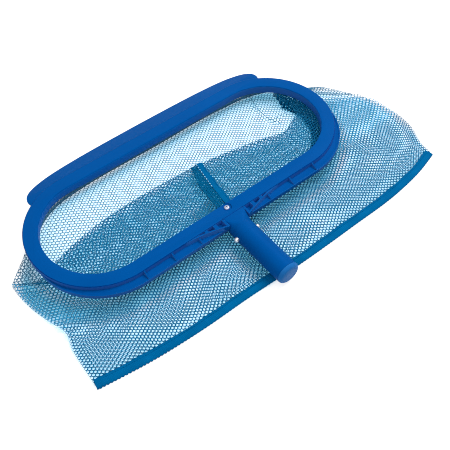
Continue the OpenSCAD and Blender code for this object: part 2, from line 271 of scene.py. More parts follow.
@dataclass(frozen=True)
class DrawnMetal(Finish):
    """Cold-worked metal strip or turned rivet. Its draw lines give it a silky, streaked shine."""

    colour: str
    deep: str
    roughness: float
    line_mm: float = 0.25
    # Scale along the strip as a share of that across it, which draws the streaks out
    stretch: float = 0.06
    metallic: float = 1.0

    def skin(self, tree: Tree) -> dict:
        """Adds streaks in colour and gloss that follow the strip.

        Args:
            tree: The material's node tree.

        Returns:
            What the shader's inputs get, by name.
        """
        place = add_node(tree, "TexCoord").outputs["Object"]
        along = add_node(tree, "Mapping", inputs={"Vector": place, "Scale": (1.0, self.stretch, 1.0)})
        fine = {"Vector": along, "Scale": 1 / (self.line_mm * MM), "Detail": 3.0}
        lines = add_node(tree, "TexNoise", inputs=fine).outputs["Fac"]
        streaks = ((0.2, self.deep), (0.8, self.colour))
        range_of_gloss = {"To Min": self.roughness - 0.06, "To Max": self.roughness + 0.08}
        return {
            "Base Color": add_node(tree, "ValToRGB", inputs={"Fac": lines}, stops=streaks),
            "Roughness": add_node(tree, "MapRange", inputs={"Value": lines, **range_of_gloss}),
            "Metallic": self.metallic,
        }


@dataclass(frozen=True)
class PlatedHead(Finish):
    """Zinc-plated screw head, with a painted highlight round its rim and painted shade in the driver's
    recess.
    """

    centre_mm: tuple[float, float, float]
    # Painted highlight on the rim, and painted shade in the driver's recess
    rim: str = "#DCE4F6"
    recess: str = "#56658F"
    side: str = "#A9B9DC"
    # How far out from the screw's axis the rings of colour run
    reach_mm: float = 4.4

    def skin(self, tree: Tree) -> dict:
        """Adds rings of colour about the screw's axis.

        Args:
            tree: The material's node tree.

        Returns:
            What the shader's inputs get, by name.
        """
        place = add_node(tree, "TexCoord").outputs["Object"]
        centre = tuple(MM * v for v in self.centre_mm)
        about = add_node(tree, "VectorMath", {"operation": "DISTANCE"}, {0: place, 1: centre})
        ratio = {0: about.outputs["Value"], 1: self.reach_mm * MM}
        share = add_node(tree, "Math", {"operation": "DIVIDE"}, ratio)
        rings = ((0.2, self.recess), (0.32, self.rim), (1.0, self.side))
        tint = add_node(tree, "ValToRGB", inputs={"Fac": share}, stops=rings)
        return {"Base Color": tint, "Metallic": 0.75, "Roughness": 0.42}


@dataclass(frozen=True)
class KnittedNetting(Finish):
    """Warp-knitted polyester netting.

    Its tightly twisted strands are dark along their crowns, and painted pale at the holes' edges, a painted
    light that stands for light through loose, translucent filaments.
    """

    crown: str
    side: str
    edge: str
    filament_mm: float = 0.22
    relief_mm: float = 0.08
    sheen: str = "#3CB4F0"

    def skin(self, tree: Tree) -> dict:
        """Adds a colour that runs from the painted light at the hole's edge to the strand's crown, with twist
        in between.

        Args:
            tree: The material's node tree.

        Returns:
            What the shader's inputs get, by name.
        """
        cloth = add_node(tree, "UVMap", {"uv_map": "fabric"})
        crown = add_node(tree, "Attribute", {"attribute_name": "crown"}).outputs["Fac"]
        bands = {"wave_type": "BANDS", "bands_direction": "DIAGONAL"}
        scale = 1 / (self.filament_mm * MM * HALF_WAVES)
        wave = {"Vector": cloth, "Scale": scale, "Distortion": 2.0, "Detail": 1.0}
        twist = add_node(tree, "TexWave", bands, wave).outputs["Fac"]
        blend = add_node(tree, "Math", {"operation": "MULTIPLY_ADD"}, {0: twist, 1: 0.16, 2: crown})
        section = ((0.05, self.edge), (0.5, self.side), (0.95, self.crown))
        relief = {"Strength": 0.35, "Distance": self.relief_mm * MM, "Height": twist}
        return {
            "Base Color": add_node(tree, "ValToRGB", inputs={"Fac": blend}, stops=section),
            "Normal": add_node(tree, "Bump", inputs=relief),
            "Roughness": 0.6,
            "Specular IOR Level": 0.12,
            "Specular Tint": linear(self.sheen),
        }


@dataclass(frozen=True)
class WovenTape(Finish):
    """Plain-woven polyester tape, dyed with the netting, dull and slightly puckered by its stitching."""

    colour: str
    deep: str
    # The real threads are about 0.3 mm apart. They are drawn coarser, so that the weave shows.
    thread_mm: float = 0.9
    patch_mm: float = 22.22
    relief_mm: float = 0.25
    sheen: str = "#3CB4F0"

    def skin(self, tree: Tree) -> dict:
        """Adds the over and under of warp and weft, and patches that took up more or less dye.

        Args:
            tree: The material's node tree.

        Returns:
            What the shader's inputs get, by name.
        """
        cloth = add_node(tree, "UVMap", {"uv_map": "fabric"})
        wave = {"Vector": cloth, "Scale": 1 / (self.thread_mm * MM * HALF_WAVES), "Distortion": 0.6}
        ways = ({"wave_type": "BANDS", "bands_direction": direction} for direction in ("X", "Y"))
        warp, weft = (add_node(tree, "TexWave", way, wave).outputs["Fac"] for way in ways)
        weave = add_node(tree, "Math", {"operation": "MULTIPLY"}, {0: warp, 1: weft})
        large = {"Vector": cloth, "Scale": 1 / (self.patch_mm * MM), "Detail": 3.0}
        patch = add_node(tree, "TexNoise", inputs=large).outputs["Fac"]
        blend = add_node(tree, "Math", {"operation": "MULTIPLY_ADD"}, {0: weave, 1: 0.4, 2: patch})
        dyes = ((0.3, self.deep), (0.9, self.colour))
        relief = {"Strength": 0.6, "Distance": self.relief_mm * MM, "Height": weave}
        return {
            "Base Color": add_node(tree, "ValToRGB", inputs={"Fac": blend}, stops=dyes),
            "Normal": add_node(tree, "Bump", inputs=relief),
            "Roughness": 0.8,
            "Specular IOR Level": 0.1,
            "Specular Tint": linear(self.sheen),
        }


# ---------------------------------------------------------------- the bag's shape


class Wall(Enum):
    """The two walls of the flat-lying bag."""

    FRONT = "front"
    BACK = "back"


def ease(value: np.ndarray | float) -> np.ndarray:
    """Smooth step from 0 to 1."""
    c = np.clip(value, 0.0, 1.0)
    return c * c * (3 - 2 * c)


def table(points: Sequence[Sequence[float]], at: np.ndarray, column: int = 1) -> np.ndarray:
    """Looks up one column of a table by its first column, smoothly.

    Args:
        points: Rows whose first number rises.
        at: Where to look.
        column: The column to read.

    Returns:
        The values at those places.
    """
    rows = np.asarray(points, float)
    x, y = rows[:, 0], rows[:, column]
    slope = np.gradient(y, x)
    at = np.clip(at, x[0], x[-1])
    i = np.clip(np.searchsorted(x, at) - 1, 0, len(x) - 2)
    h = x[i + 1] - x[i]
    s = (at - x[i]) / h
    return (
        (1 + 2 * s) * (1 - s) ** 2 * y[i]
        + s * (1 - s) ** 2 * h * slope[i]
        + s * s * (3 - 2 * s) * y[i + 1]
        + s * s * (s - 1) * h * slope[i + 1]
    )


def spline(points: np.ndarray, steps: int) -> np.ndarray:
    """Runs a Catmull-Rom curve through points, along their first axis.

    Args:
        points: Array of points, or of rows of points.
        steps: Samples on each stretch.

    Returns:
        The sampled curve, with both end points.
    """
    first, last = 2 * points[:1] - points[1:2], 2 * points[-1:] - points[-2:-1]
    p = np.concatenate([first, points, last])
    curve = []
    for i in range(1, len(p) - 2):
        for t in np.arange(steps) / steps:
            square = (2 * p[i - 1] - 5 * p[i] + 4 * p[i + 1] - p[i + 2]) * t * t
            cube = (3 * p[i] - p[i - 1] - 3 * p[i + 1] + p[i + 2]) * t**3
            curve.append(0.5 * (2 * p[i] + (p[i + 1] - p[i - 1]) * t + square + cube))
    curve.append(p[-2])
    return np.array(curve)


def hump(distance: np.ndarray, width: float) -> np.ndarray:
    """Round hump over a line: 1 on it, and next to nothing two widths away."""
    return np.exp(-((distance / width) ** 2))


def unit(vectors: np.ndarray) -> np.ndarray:
    """Makes vectors one long."""
    return vectors / np.maximum(np.linalg.norm(vectors, axis=-1), 1e-9)[..., None]


@dataclass
class BagShape:
    """How the netting tube hangs from the ring, folds inward and lies flat. Sizes in mm."""

    width: float = 528.0
    mouth_r: float = 73.0
    mouth_z: float = -11.2
    back_z: float = -30.4
    front_z: float = -28.7
    # Height of the front wall where it lies under its own fold
    under_fold_z: float = -27.6
    # The walls come together towards the sides, this far above the back wall, over this share of the width
    side_lift: float = 0.6
    side_share: float = 0.035
    # Where the sides of the flat bag leave the mouth, in degrees round its ends
    left_split: float = 205.0
    right_split: float = 38.0
    # How far below the listed height the fold's crest lies, and how far it turns back at the right end
    crest_drop: float = 0.8
    right_turn: float = 34.0
    columns: int = 177
    row_step: float = 1.5
    rows: int = 240
    # Y and X of the bag's sides where it lies flat, and the straight lines that they bend from
    left_side: tuple = (
        (-170, -236), (-158, -236), (-144, -234), (-121, -234), (-105, -233), (-92, -229), (-83, -228),
        (-73, -233), (-60, -235), (-49, -238), (-30, -242.5), (-10, -245), (8, -244.8),
    )
    right_side: tuple = (
        (-172, 268), (-160, 276), (-141, 282), (-117, 290), (-84, 296), (-51, 293), (-20, 286), (0, 282),
    )
    straight_sides: tuple = (-240, 288)
    # X and Y of the bottom edge, and the stretch of X that the columns of cloth end on
    hem_line: tuple = (
        (-238, -158), (-177, -167), (-115, -172), (-46, -173), (27, -176), (108, -176), (196, -174),
        (240, -168), (280, -158),
    )
    hem_span: tuple = (-236, 276)
    # Place across, X, Y and Z of the front wall's fold
    fold: tuple = (
        (0.0, -244.8, 9, -28.5), (0.045, -222, -6, -26.5), (0.10, -190, 2, -22.5), (0.16, -154, 10.5, -20.5),
        (0.22, -120, 15.5, -20), (0.30, -74, 18, -20), (0.39, -18, 17, -20), (0.47, 26, 14, -20),
        (0.555, 72, 7.5, -20), (0.65, 122, -3.5, -20), (0.71, 150, -11.5, -20), (0.75, 164, -6, -20),
        (0.80, 178, 1, -20), (0.84, 187, 4, -19.5), (0.88, 186, 11, -19), (0.91, 190, 20, -18),
        (0.94, 190, 28, -17), (0.97, 184, 36, -15), (1.0, 186, 45, -12.5),
    )
    # Place across, X and Y of where the back wall comes to the ground
    landing: tuple = (
        (0.0, -244.8, 7), (0.015, -242.5, 14), (0.03, -233.5, 22), (0.07, -209, 44), (0.12, -184, 65),
        (0.18, -150, 79), (0.28, -98, 84), (0.5, 17, 84.5), (0.72, 132, 84), (0.82, 184, 76), (0.88, 215, 60),
        (0.93, 241, 38), (0.97, 264, 20), (1.0, 284, -16),
    )
    # Middle and size of the rumpled cloth at the left corner
    rumple: tuple = ((-224, 17), (-76, 15))
    # X and Y along the crease in the back wall, and the ends of the fainter one that branches off it
    crease: tuple = ((162, 10), (155, 23), (154, 34), (155, 48), (158, 60), (163, 76))
    branch: tuple = (164, 189)
    grids: dict = field(default_factory=dict)
    lengths: dict = field(default_factory=dict)

    def mouth(self, wall: Wall, across: np.ndarray) -> np.ndarray:
        """Points on the mouth, in plan.

        Args:
            wall: Front or back.
            across: Places from the left side (0) to the right side (1).

        Returns:
            X and Y of each point.
        """
        r, straight = self.mouth_r, 2 * HALF_STRAIGHT
        start = math.radians(self.left_split)
        if wall is Wall.FRONT:
            turn, left, right = 1, 270 - self.left_split, 90 + self.right_split
        else:
            turn, left, right = -1, self.left_split - 90, 90 - self.right_split
        left, right = math.radians(left) * r, math.radians(right) * r
        d = across * (left + straight + right)
        end = turn * (math.pi / -2)
        angle = np.where(d < left, start + turn * d / r, end)
        angle = np.where(d > left + straight, end + turn * (d - left - straight) / r, angle)
        x0 = np.clip(d - left, 0, straight) - HALF_STRAIGHT
        return np.stack([x0 + r * np.cos(angle), r * np.sin(angle)], -1)

    def lying(self, y: np.ndarray, across: np.ndarray) -> np.ndarray:
        """X of points of a lying wall, whose columns are straight and follow the outlines near the sides.

        Args:
            y: Their Y.
            across: Their places from the left side to the right side.

        Returns:
            Their X.
        """
        left, right = self.straight_sides
        near_left = (table(self.left_side, y) - left) * (1 - ease(across / 0.3))
        near_right = (table(self.right_side, y) - right) * ease((across - 0.7) / 0.3)
        return left + self.width * across + near_left + near_right

    def hem(self, across: np.ndarray) -> tuple[np.ndarray, np.ndarray]:
        """X and Y of the ends of the columns, just inside the bottom band."""
        x = self.hem_span[0] + (self.hem_span[1] - self.hem_span[0]) * across
        return x, table(self.hem_line, x) + 3

    def apart(self, across: np.ndarray) -> np.ndarray:
        """How far the walls are apart: 0 at the sides, where they meet, and 1 in between."""
        return ease(across / self.side_share) * ease((1 - across) / self.side_share)

    def front_columns(self, across: np.ndarray) -> np.ndarray:
        """Guides the front wall down from the mouth, in to the fold, back under it and out to the hem.

        Args:
            across: Places of the columns.

        Returns:
            Points by station, column and axis.
        """
        mouth = self.mouth(Wall.FRONT, across)
        fold_x, fold_y, fold_z = (table(self.fold, across, c) for c in (1, 2, 3))
        folded = ease(across / 0.1)
        met = self.back_z + self.side_lift
        rest = met + (self.front_z - met) * self.apart(across)
        hem_x, hem_y = self.hem(across)
        points = [np.stack([mouth[:, 0], mouth[:, 1], np.full_like(across, self.mouth_z)], -1)]
        for t, drop in ((0.12, 0.34), (0.35, 0.62), (0.65, 0.85), (0.9, 0.98)):
            x, y = (mouth[:, i] + ((fold_x, fold_y)[i] - mouth[:, i]) * t for i in (0, 1))
            points.append(np.stack([x, y, self.mouth_z + (fold_z - self.mouth_z) * drop], -1))
        crest_z = fold_z - self.crest_drop
        points.append(np.stack([fold_x, fold_y, crest_z], -1))
        low = self.under_fold_z * folded + rest * (1 - folded)
        right_out = ease((across - 0.72) / 0.14)
        # Where a column turns back under the fold it starts for its place on the ground
        turn_y = fold_y - self.right_turn * ease((across - 0.84) / 0.16)
        for t, wrap, aside in ((0.02, 0.55, 0.03), (0.07, 0.97, 0.3), (0.15, 1.0, 0.8)):
            y = fold_y + (hem_y - fold_y) * t + (turn_y - fold_y) * aside
            outward = t * 1.5 * (1 - right_out) + right_out * aside
            x = fold_x + (self.lying(y, across) - fold_x) * outward
            z = crest_z + (low - crest_z) * wrap
            points.append(np.stack([x, y, z * folded + rest * (1 - folded)], -1))
        for t in (0.27, 0.4, 0.55, 0.7, 0.85, 1.0):
            y = turn_y + (hem_y - turn_y) * t
            z = low + (rest - low) * ease((t - 0.2) / 0.4)
            points.append(self.to_hem(self.lying(y, across), hem_x, y, z, t))
        return np.array(points)

    @staticmethod
    def to_hem(x: np.ndarray, hem_x: np.ndarray, y: np.ndarray, z: np.ndarray, t: float) -> np.ndarray:
        """Points of a lying wall that draw in to their places on the hem over the last stretch.

        Args:
            x: Where the columns would be.
            hem_x: Where they end.
            y: Their Y.
            z: Their Z.
            t: Share of the way to the hem.

        Returns:
            The points.
        """
        pull = ease((t - 0.7) / 0.3)
        return np.stack([x * (1 - pull) + hem_x * pull, y, z], -1)

    def back_columns(self, across: np.ndarray) -> np.ndarray:
        """Guides the back wall out and down from the mouth to the ground, then flat to the hem.

        Args:
            across: Places of the columns.

        Returns:
            Points by station, column and axis.
        """
        mouth = self.mouth(Wall.BACK, across)
        land = np.stack([table(self.landing, across, 1), table(self.landing, across, 2)], -1)
        rest = self.back_z + self.side_lift * (1 - self.apart(across))
        hem_x, hem_y = self.hem(across)
        points = [np.stack([mouth[:, 0], mouth[:, 1], np.full_like(across, self.mouth_z)], -1)]
        for t, drop in ((0.25, 0.3), (0.6, 0.72), (0.86, 0.95)):
            xy = mouth + (land - mouth) * t
            points.append(np.stack([xy[:, 0], xy[:, 1], self.mouth_z + (rest - self.mouth_z) * drop], -1))
        points.append(np.stack([land[:, 0], land[:, 1], rest + 0.1], -1))
        edge = self.lying(land[:, 1], 0 * across)
        start = (land[:, 0] - edge) / (self.lying(land[:, 1], 0 * across + 1) - edge)
        for t in (0.1, 0.25, 0.4, 0.55, 0.7, 0.85, 1.0):
            y = land[:, 1] + (hem_y - land[:, 1]) * t
            x = self.lying(y, start + (across - start) * ease(t / 0.8))
            points.append(self.to_hem(x, hem_x, y, rest, t))
        return np.array(points)

    def settle(self, wall: Wall, xyz: np.ndarray) -> np.ndarray:
        """Adds the folds, rumples and puckers that the cloth takes as it lies.

        Args:
            wall: Front or back.
            xyz: Points of the wall, the last axis being X, Y and Z.

        Returns:
            The moved points.
        """
        out = xyz.copy()
        x, y, z = xyz[..., 0], xyz[..., 1], xyz[..., 2]
        (rumple_x, size_x), (rumple_y, size_y) = self.rumple
        rumple = np.exp(-(((x - rumple_x) / size_x) ** 2 + ((y - rumple_y) / size_y) ** 2))
        if wall is Wall.FRONT:
            lying = ease((-25.5 - z) / 2.5)
            near = lying * ease((-20 - y) / 40) * ease((y + 165) / 30)
            lift = near * 0.55 * (1 + np.sin(x / 21 + y / 34) * np.sin(y / 27 - x / 60))
            lift += rumple * (3.0 + 2.6 * np.sin((y + (x - rumple_x) * 0.5) / 2.1))
            # The front wall's fold runs on outside the ring as a pleat
            pleat = np.abs(y + 21 + (x + 219) * 1.1) / 1.5
            lift += 2.6 * hump(pleat, 3.2) * ease((-207 - x) / 12)
        else:
            crease = np.array(self.crease, float)
            along = np.clip(y, crease[0, 1], crease[-1, 1])
            off = x - np.interp(along, crease[:, 1], crease[:, 0])
            from_crease = np.abs(off) + np.abs(y - along) * 2
            over = np.maximum(0, self.branch[0] - x) + np.maximum(0, x - self.branch[1])
            from_branch = np.abs(y - 19.5 + (x - 175) * 0.1) + over
            lift = 3.4 * hump(from_crease, 1.7) + 2.2 * hump(from_branch, 1.6)
            lift += rumple * 0.6 * (1 + np.sin(y / 2.3))
            # The crease draws the cloth in from both sides
            out[..., 0] -= 0.62 * off * hump(from_crease, 4.2)
        out[..., 2] += lift
        return out

    def build(self) -> None:
        """Works out both walls as grids of points, with rows counted up from the hem along the cloth."""
        across = np.linspace(0, 1, self.columns)
        at = np.arange(self.rows) * self.row_step
        for wall, guide in ((Wall.FRONT, self.front_columns), (Wall.BACK, self.back_columns)):
            lines = spline(guide(across), 14)[::-1]
            steps = np.linalg.norm(np.diff(lines, axis=0), axis=2)
            length = np.concatenate([np.zeros((1, self.columns)), np.cumsum(steps, axis=0)])
            grid = np.empty((self.columns, self.rows, 3))
            for c in range(self.columns):
                for k in range(3):
                    grid[c, :, k] = np.interp(at, length[:, c], lines[:, c, k])
                grid[c, :, 2] += np.maximum(0, at - length[-1, c])
            for _ in range(2):
                grid[1:-1] = (grid[:-2] + 2 * grid[1:-1] + grid[2:]) / 4
            self.grids[wall] = grid
            self.lengths[wall] = length[-1]

    def point(self, wall: Wall, u: np.ndarray, v: np.ndarray) -> np.ndarray:
        """Places cloth on the wall.

        Args:
            wall: Front or back.
            u: Distance across the cloth from its left side.
            v: Distance up the cloth from the hem.

        Returns:
            Points in mm from the ring's middle.
        """
        grid = self.grids[wall]
        fu = np.clip(u / self.width, 0, 1) * (self.columns - 1)
        fv = np.clip(v / self.row_step, 0, self.rows - 1.001)
        i = np.minimum(fu.astype(int), self.columns - 2)
        j = fv.astype(int)
        a, b = (fu - i)[..., None], (fv - j)[..., None]
        here = grid[i, j] * (1 - a) + grid[i + 1, j] * a
        above = grid[i, j + 1] * (1 - a) + grid[i + 1, j + 1] * a
        return self.settle(wall, here * (1 - b) + above * b)

    def normal(self, wall: Wall, u: np.ndarray, v: np.ndarray) -> np.ndarray:
        """Normals of the wall, which face up where it lies flat with its right side up.

        Args:
            wall: Front or back.
            u: Distance across the cloth from its left side.
            v: Distance up the cloth from the hem.

        Returns:
            Unit vectors.
        """
        du = self.point(wall, u + self.row_step, v) - self.point(wall, u - self.row_step, v)
        dv = self.point(wall, u, v + self.row_step) - self.point(wall, u, np.maximum(v - self.row_step, 0))
        return unit(np.cross(du, dv))

    def length_at(self, wall: Wall, u: np.ndarray) -> np.ndarray:
        """Length of the cloth from the hem to the mouth at a distance across it."""
        return np.interp(u / self.width, np.linspace(0, 1, self.columns), self.lengths[wall])

    def seam_line(self, down: np.ndarray) -> np.ndarray:
        """Distance across the front wall of the join's middle, at a distance down from the mouth."""
        return self.width * (0.442 + 0.028 * np.minimum(down / 87.0, 1.3))

    def beside_seam(self, u: np.ndarray, down: np.ndarray) -> tuple[np.ndarray, np.ndarray]:
        """Places things that lie on the inside of the front wall, at the join.

        Args:
            u: Distance across the cloth.
            down: Distance down the cloth from the mouth.

        Returns:
            Points on the cloth, and unit normals to the bag's inside.
        """
        v = float(self.length_at(Wall.FRONT, np.array([self.width * 0.45]))[0]) - down
        return self.point(Wall.FRONT, u, v), -self.normal(Wall.FRONT, u, v)


# ---------------------------------------------------------------- meshes


def mesh_object(
    name: str,
    points_mm: np.ndarray,
    faces: np.ndarray | Sequence,
    cloth: np.ndarray,
    crown: np.ndarray | None = None,
) -> Piece:
    """Makes a mesh piece from points in mm about the ring's middle.

    Args:
        name: The piece's name.
        points_mm: Its points.
        faces: Point numbers of its faces, all with as many corners.
        cloth: Cloth coordinates in mm, one row for each point.
        crown: How near each point is to the middle of its strand, from 0 to 1.

    Returns:
        The new object, at the origin.
    """
    points = (np.asarray(points_mm) + RING_MIDDLE) * MM
    faces = np.asarray(faces)
    mesh = bpy.data.meshes.new(name)
    count, corners = faces.shape
    mesh.vertices.add(len(points))
    mesh.vertices.foreach_set("co", points.astype(np.float32).ravel())
    mesh.loops.add(count * corners)
    mesh.loops.foreach_set("vertex_index", faces.astype(np.int32).ravel())
    mesh.polygons.add(count)
    mesh.polygons.foreach_set("loop_start", np.arange(0, count * corners, corners, dtype=np.int32))
    mesh.update(calc_edges=True)
    uv = (cloth * MM)[faces.ravel()]
    mesh.uv_layers.new(name="fabric").data.foreach_set("uv", uv.astype(np.float32).ravel())
    if crown is not None:
        mesh.attributes.new("crown", "FLOAT", "POINT").data.foreach_set("value", crown.astype(np.float32))
    mesh.validate()
    mesh.polygons.foreach_set("use_smooth", np.ones(len(mesh.polygons), bool))
    piece = bpy.data.objects.new(name, mesh)
    bpy.context.scene.collection.objects.link(piece)
    return piece


def strip_faces(number: np.ndarray) -> np.ndarray:
    """Four-cornered faces between neighbours in a grid of point numbers."""
    return np.stack([number[:-1, :-1], number[:-1, 1:], number[1:, 1:], number[1:, :-1]], -1).reshape(-1, 4)


def stadium(radius: float, height: float, count: int) -> np.ndarray:
    """Makes a closed long-oval line about the ring's two round ends, its last point on its first.

    Args:
        radius: Radius of the round ends.
        height: Its Z.
        count: Steps round it.

    Returns:
        The points.
    """
    arc, straight = math.pi * radius, 2 * HALF_STRAIGHT
    d = np.linspace(0, 2 * (arc + straight), count + 1)
    second = d >= arc + straight
    e = np.where(second, d - arc - straight, d)
    angle = np.where(e < arc, e / radius, math.pi) - math.pi / 2
    x = HALF_STRAIGHT + radius * np.cos(angle) - np.maximum(e - arc, 0)
    y = radius * np.sin(angle)
    sign = np.where(second, -1, 1)
    return np.stack([x * sign, y * sign, np.full(count + 1, height)], -1)


# ---------------------------------------------------------------- netting


Surface = Callable[[np.ndarray, np.ndarray], tuple[np.ndarray, np.ndarray]]
Pale = Callable[[np.ndarray], np.ndarray]


@dataclass
class Netting:
    """Hexagonal knitted netting laid over the bag's walls, cell by cell. Sizes in mm."""

    shape: BagShape
    # Dyed netting in several layers: dark strands with a painted glint at the holes
    layered: Finish = KnittedNetting("knitted_polyester_netting", "#0A5280", "#1488BC", "#50C8FA")
    # Painted light: the same netting painted paler, for the bright floor behind it that washes its strands
    # out
    backlit: Finish = KnittedNetting("backlit_netting_painted_light", "#34769C", "#589CC0", "#86C4E0")
    # Painted shade: drawn together, the strands shade each other, so this copy is painted a deeper blue
    bunched: Finish = KnittedNetting("bunched_netting_painted_shade", "#005482", "#0070A2", "#0A88BA")
    # Distance between columns, and between the cells of a column
    pitch: tuple[float, float] = (3.28, 4.67)
    # Size of a hole as a share of its cell
    front_hole: float = 0.76
    back_hole: float = 0.825
    gather_hole: float = 0.34
    allowance_hole: float = 0.3
    half_thick: float = 0.34
    # Half of the bar between two columns' slanted strands, as a share of the pitch
    bar: float = 0.2466
    rows: int = 80
    gather_arc: tuple[float, float] = (-74.0, 42.0)
    gather_depth: float = 24.0
    fullness: float = 1.7
    pleat: float = 9.4
    allowance_columns: int = 5
    allowance_length: float = 92.0

    def drift(self, wall: Wall, u: np.ndarray, v: np.ndarray) -> tuple[np.ndarray, np.ndarray]:
        """Shifts cloth in its own plane, as knitted cloth skews when it's handled.

        Args:
            wall: Front or back.
            u: Distance across the cloth.
            v: Distance up the cloth.

        Returns:
            The shifted distances.
        """
        shape, w = self.shape, self.shape.width
        # The hem lies in a bow, and the rows straighten out on their way up from it
        _, hem_y = shape.hem(u / w)
        v = v - (hem_y + 171) * ease(v / 110)
        hold = ease(u / 50) * ease((w - u) / 50) * ease(v / 30)
        if wall is Wall.BACK:
            return u + 0.5 * hold * np.sin(v / 37 + u / 61), v + 0.5 * hold * np.sin(u / 43 - v / 58)
        u = self.straighten(u, v)
        du = 2.4 * np.sin(v / 34 + u / 88 + 1) + 1.2 * np.sin(v / 18 - u / 47 + 2) + 0.03 * (v - 90)
        dv = 2.0 * np.sin(u / 44 - v / 70 + 3) + 1.2 * np.sin(u / 25 + v / 51 - 1)
        # Under the fold the front wall follows the back wall that it lies on
        hold = hold * (1 - 0.85 * ease((v - 85) / 25) + 1.35 * ease((v - 190) / 20))
        return u + du * hold, v + dv * hold

    def straighten(self, u: np.ndarray, v: np.ndarray) -> np.ndarray:
        """Shears the folded-in part of the front wall so that its columns lie above those of the part below.

        Args:
            u: Distance across the cloth.
            v: Distance up the cloth.

        Returns:
            The shifted distance across.
        """
        shape, w = self.shape, self.shape.width
        fold = np.argmax(shape.grids[Wall.FRONT][:, :, 1], axis=1) * shape.row_step
        top = ease((v - np.interp(u / w, np.linspace(0, 1, shape.columns), fold)) / 25)
        here = shape.point(Wall.FRONT, u, v)
        aside = shape.lying(here[..., 1], u / w) - here[..., 0]
        return u + top * ease(u / 120) * ease((w - u) / 150) * aside

    def knit(
        self,
        name: str,
        cells: np.ndarray,
        pitch: tuple[float, float],
        hole: float,
        place: Surface,
        pale: Pale | None = None,
    ) -> Piece:
        """Makes one closed mesh of round-backed strands from a patch of hexagonal cells.

        Args:
            name: The piece's name.
            cells: Middles of the cells on the flat cloth.
            pitch: Distance between columns, and between the cells of a column.
            hole: Size of a hole as a share of its cell.
            place: Gives points and unit normals in space for flat cloth.
            pale: How much the strands are painted paler for light from below, from 0 to 1, by points in
                space.

        Returns:
            The netting piece.
        """
        half = pitch[1] / 2
        a = pitch[0] * self.bar
        b = pitch[0] - a
        hexagon = np.array([(-a, -half), (a, -half), (b, 0), (a, half), (-a, half), (-b, 0)])
        corner = (cells[:, None, :] + hexagon[None]).reshape(-1, 2)
        hole_edge = (cells[:, None, :] + hexagon[None] * hole).reshape(-1, 2)
        # Corners of neighbouring cells that are within 0.02 mm are one point
        keys = np.round(corner * 50).astype(np.int64)
        key = keys[:, 0] * 10_000_000 + keys[:, 1]
        _, pick, where = np.unique(key, return_index=True, return_inverse=True)
        where = where.reshape(-1, 6)
        n = len(pick)
        # A strand's crown and its back are the cells' shared corners, and its sides the holes' edges
        flat = np.concatenate([corner[pick], hole_edge])
        base, up = place(flat[:, 0], flat[:, 1])
        thick = up[:n] * self.half_thick
        points = np.concatenate([base[:n] + thick, base[:n] - thick, base[n:]])
        cloth = np.concatenate([flat[:n], flat])
        crown = np.concatenate([np.ones(2 * n), np.zeros(len(hole_edge))])
        # Painted light: a lower crown value makes the strand paler
        if pale is not None:
            crown *= 1 - 0.55 * pale(points)
        side = 2 * n + np.arange(len(hole_edge)).reshape(-1, 6)
        where_next, side_next = np.roll(where, -1, 1), np.roll(side, -1, 1)
        top = np.stack([where, where_next, side_next, side], -1).reshape(-1, 4)
        low = np.stack([where_next + n, where + n, side, side_next], -1).reshape(-1, 4)
        # An edge that only one cell has is on the patch's rim, which gets a wall
        edge = np.stack([where, where_next], -1).reshape(-1, 2)
        tag = np.sort(edge, axis=1)
        _, back, times = np.unique(tag[:, 0] * (n + 1) + tag[:, 1], return_inverse=True, return_counts=True)
        rim = edge[times[back.ravel()] == 1]
        wall = np.stack([rim[:, 1], rim[:, 0], rim[:, 0] + n, rim[:, 1] + n], -1)
        return mesh_object(name, points, np.concatenate([top, low, wall]), cloth, crown)

    def lattice(self, columns: range, rows: int, pitch: tuple[float, float]) -> np.ndarray:
        """Places staggered cells.

        Args:
            columns: Which columns.
            rows: Cells in a column.
            pitch: Distance between columns, and between the cells of a column.

        Returns:
            The cells' middles, one row of two numbers for each.
        """
        i, j = np.meshgrid(np.array(columns), np.arange(rows), indexing="ij")
        return np.stack([(i + 0.5) * pitch[0], (j + 0.5 * (i % 2) + 0.5) * pitch[1]], -1).reshape(-1, 2)

    def declare(self, piece: Piece) -> None:
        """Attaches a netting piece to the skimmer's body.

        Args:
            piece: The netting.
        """
        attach(piece, "skimmer")

    def wall_piece(self, name: str, wall: Wall, columns: range) -> Piece:
        """Makes a run of columns of one wall.

        Args:
            name: The piece's name.
            wall: Front or back.
            columns: Which columns.

        Returns:
            The netting piece.
        """
        shape = self.shape
        pitch = (shape.width / round(shape.width / self.pitch[0]), self.pitch[1])
        cells = self.lattice(columns, self.rows, pitch)
        keep = self.drift(wall, cells[:, 0], cells[:, 1])[1] < shape.length_at(wall, cells[:, 0]) + 1.0

        def place(u: np.ndarray, v: np.ndarray) -> tuple[np.ndarray, np.ndarray]:
            """Lays flat cloth on the wall."""
            u, v = self.drift(wall, np.clip(u, 0, shape.width), v)
            return shape.point(wall, u, v), shape.normal(wall, u, v)

        def pale(points: np.ndarray) -> np.ndarray:
            """What lies under the fold is painted paler, for the light that gets through its back."""
            return ease((-22.5 - points[:, 2]) / 3) * ease((points[:, 1] + 84) / 10)

        hole, lit_from_below = (self.front_hole, pale) if wall is Wall.FRONT else (self.back_hole, None)
        piece = self.knit(name, cells[keep], pitch, hole, place, lit_from_below)
        self.declare(piece)
        return piece

    def end_gather(self) -> Piece:
        """Bunches the surplus netting at the mouth's right end into close pleats that hang inside the ring.

        Returns:
            The netting piece.
        """
        shape, depth = self.shape, self.gather_depth
        first, last = (math.radians(v) for v in self.gather_arc)
        width = self.fullness * (last - first) * shape.mouth_r

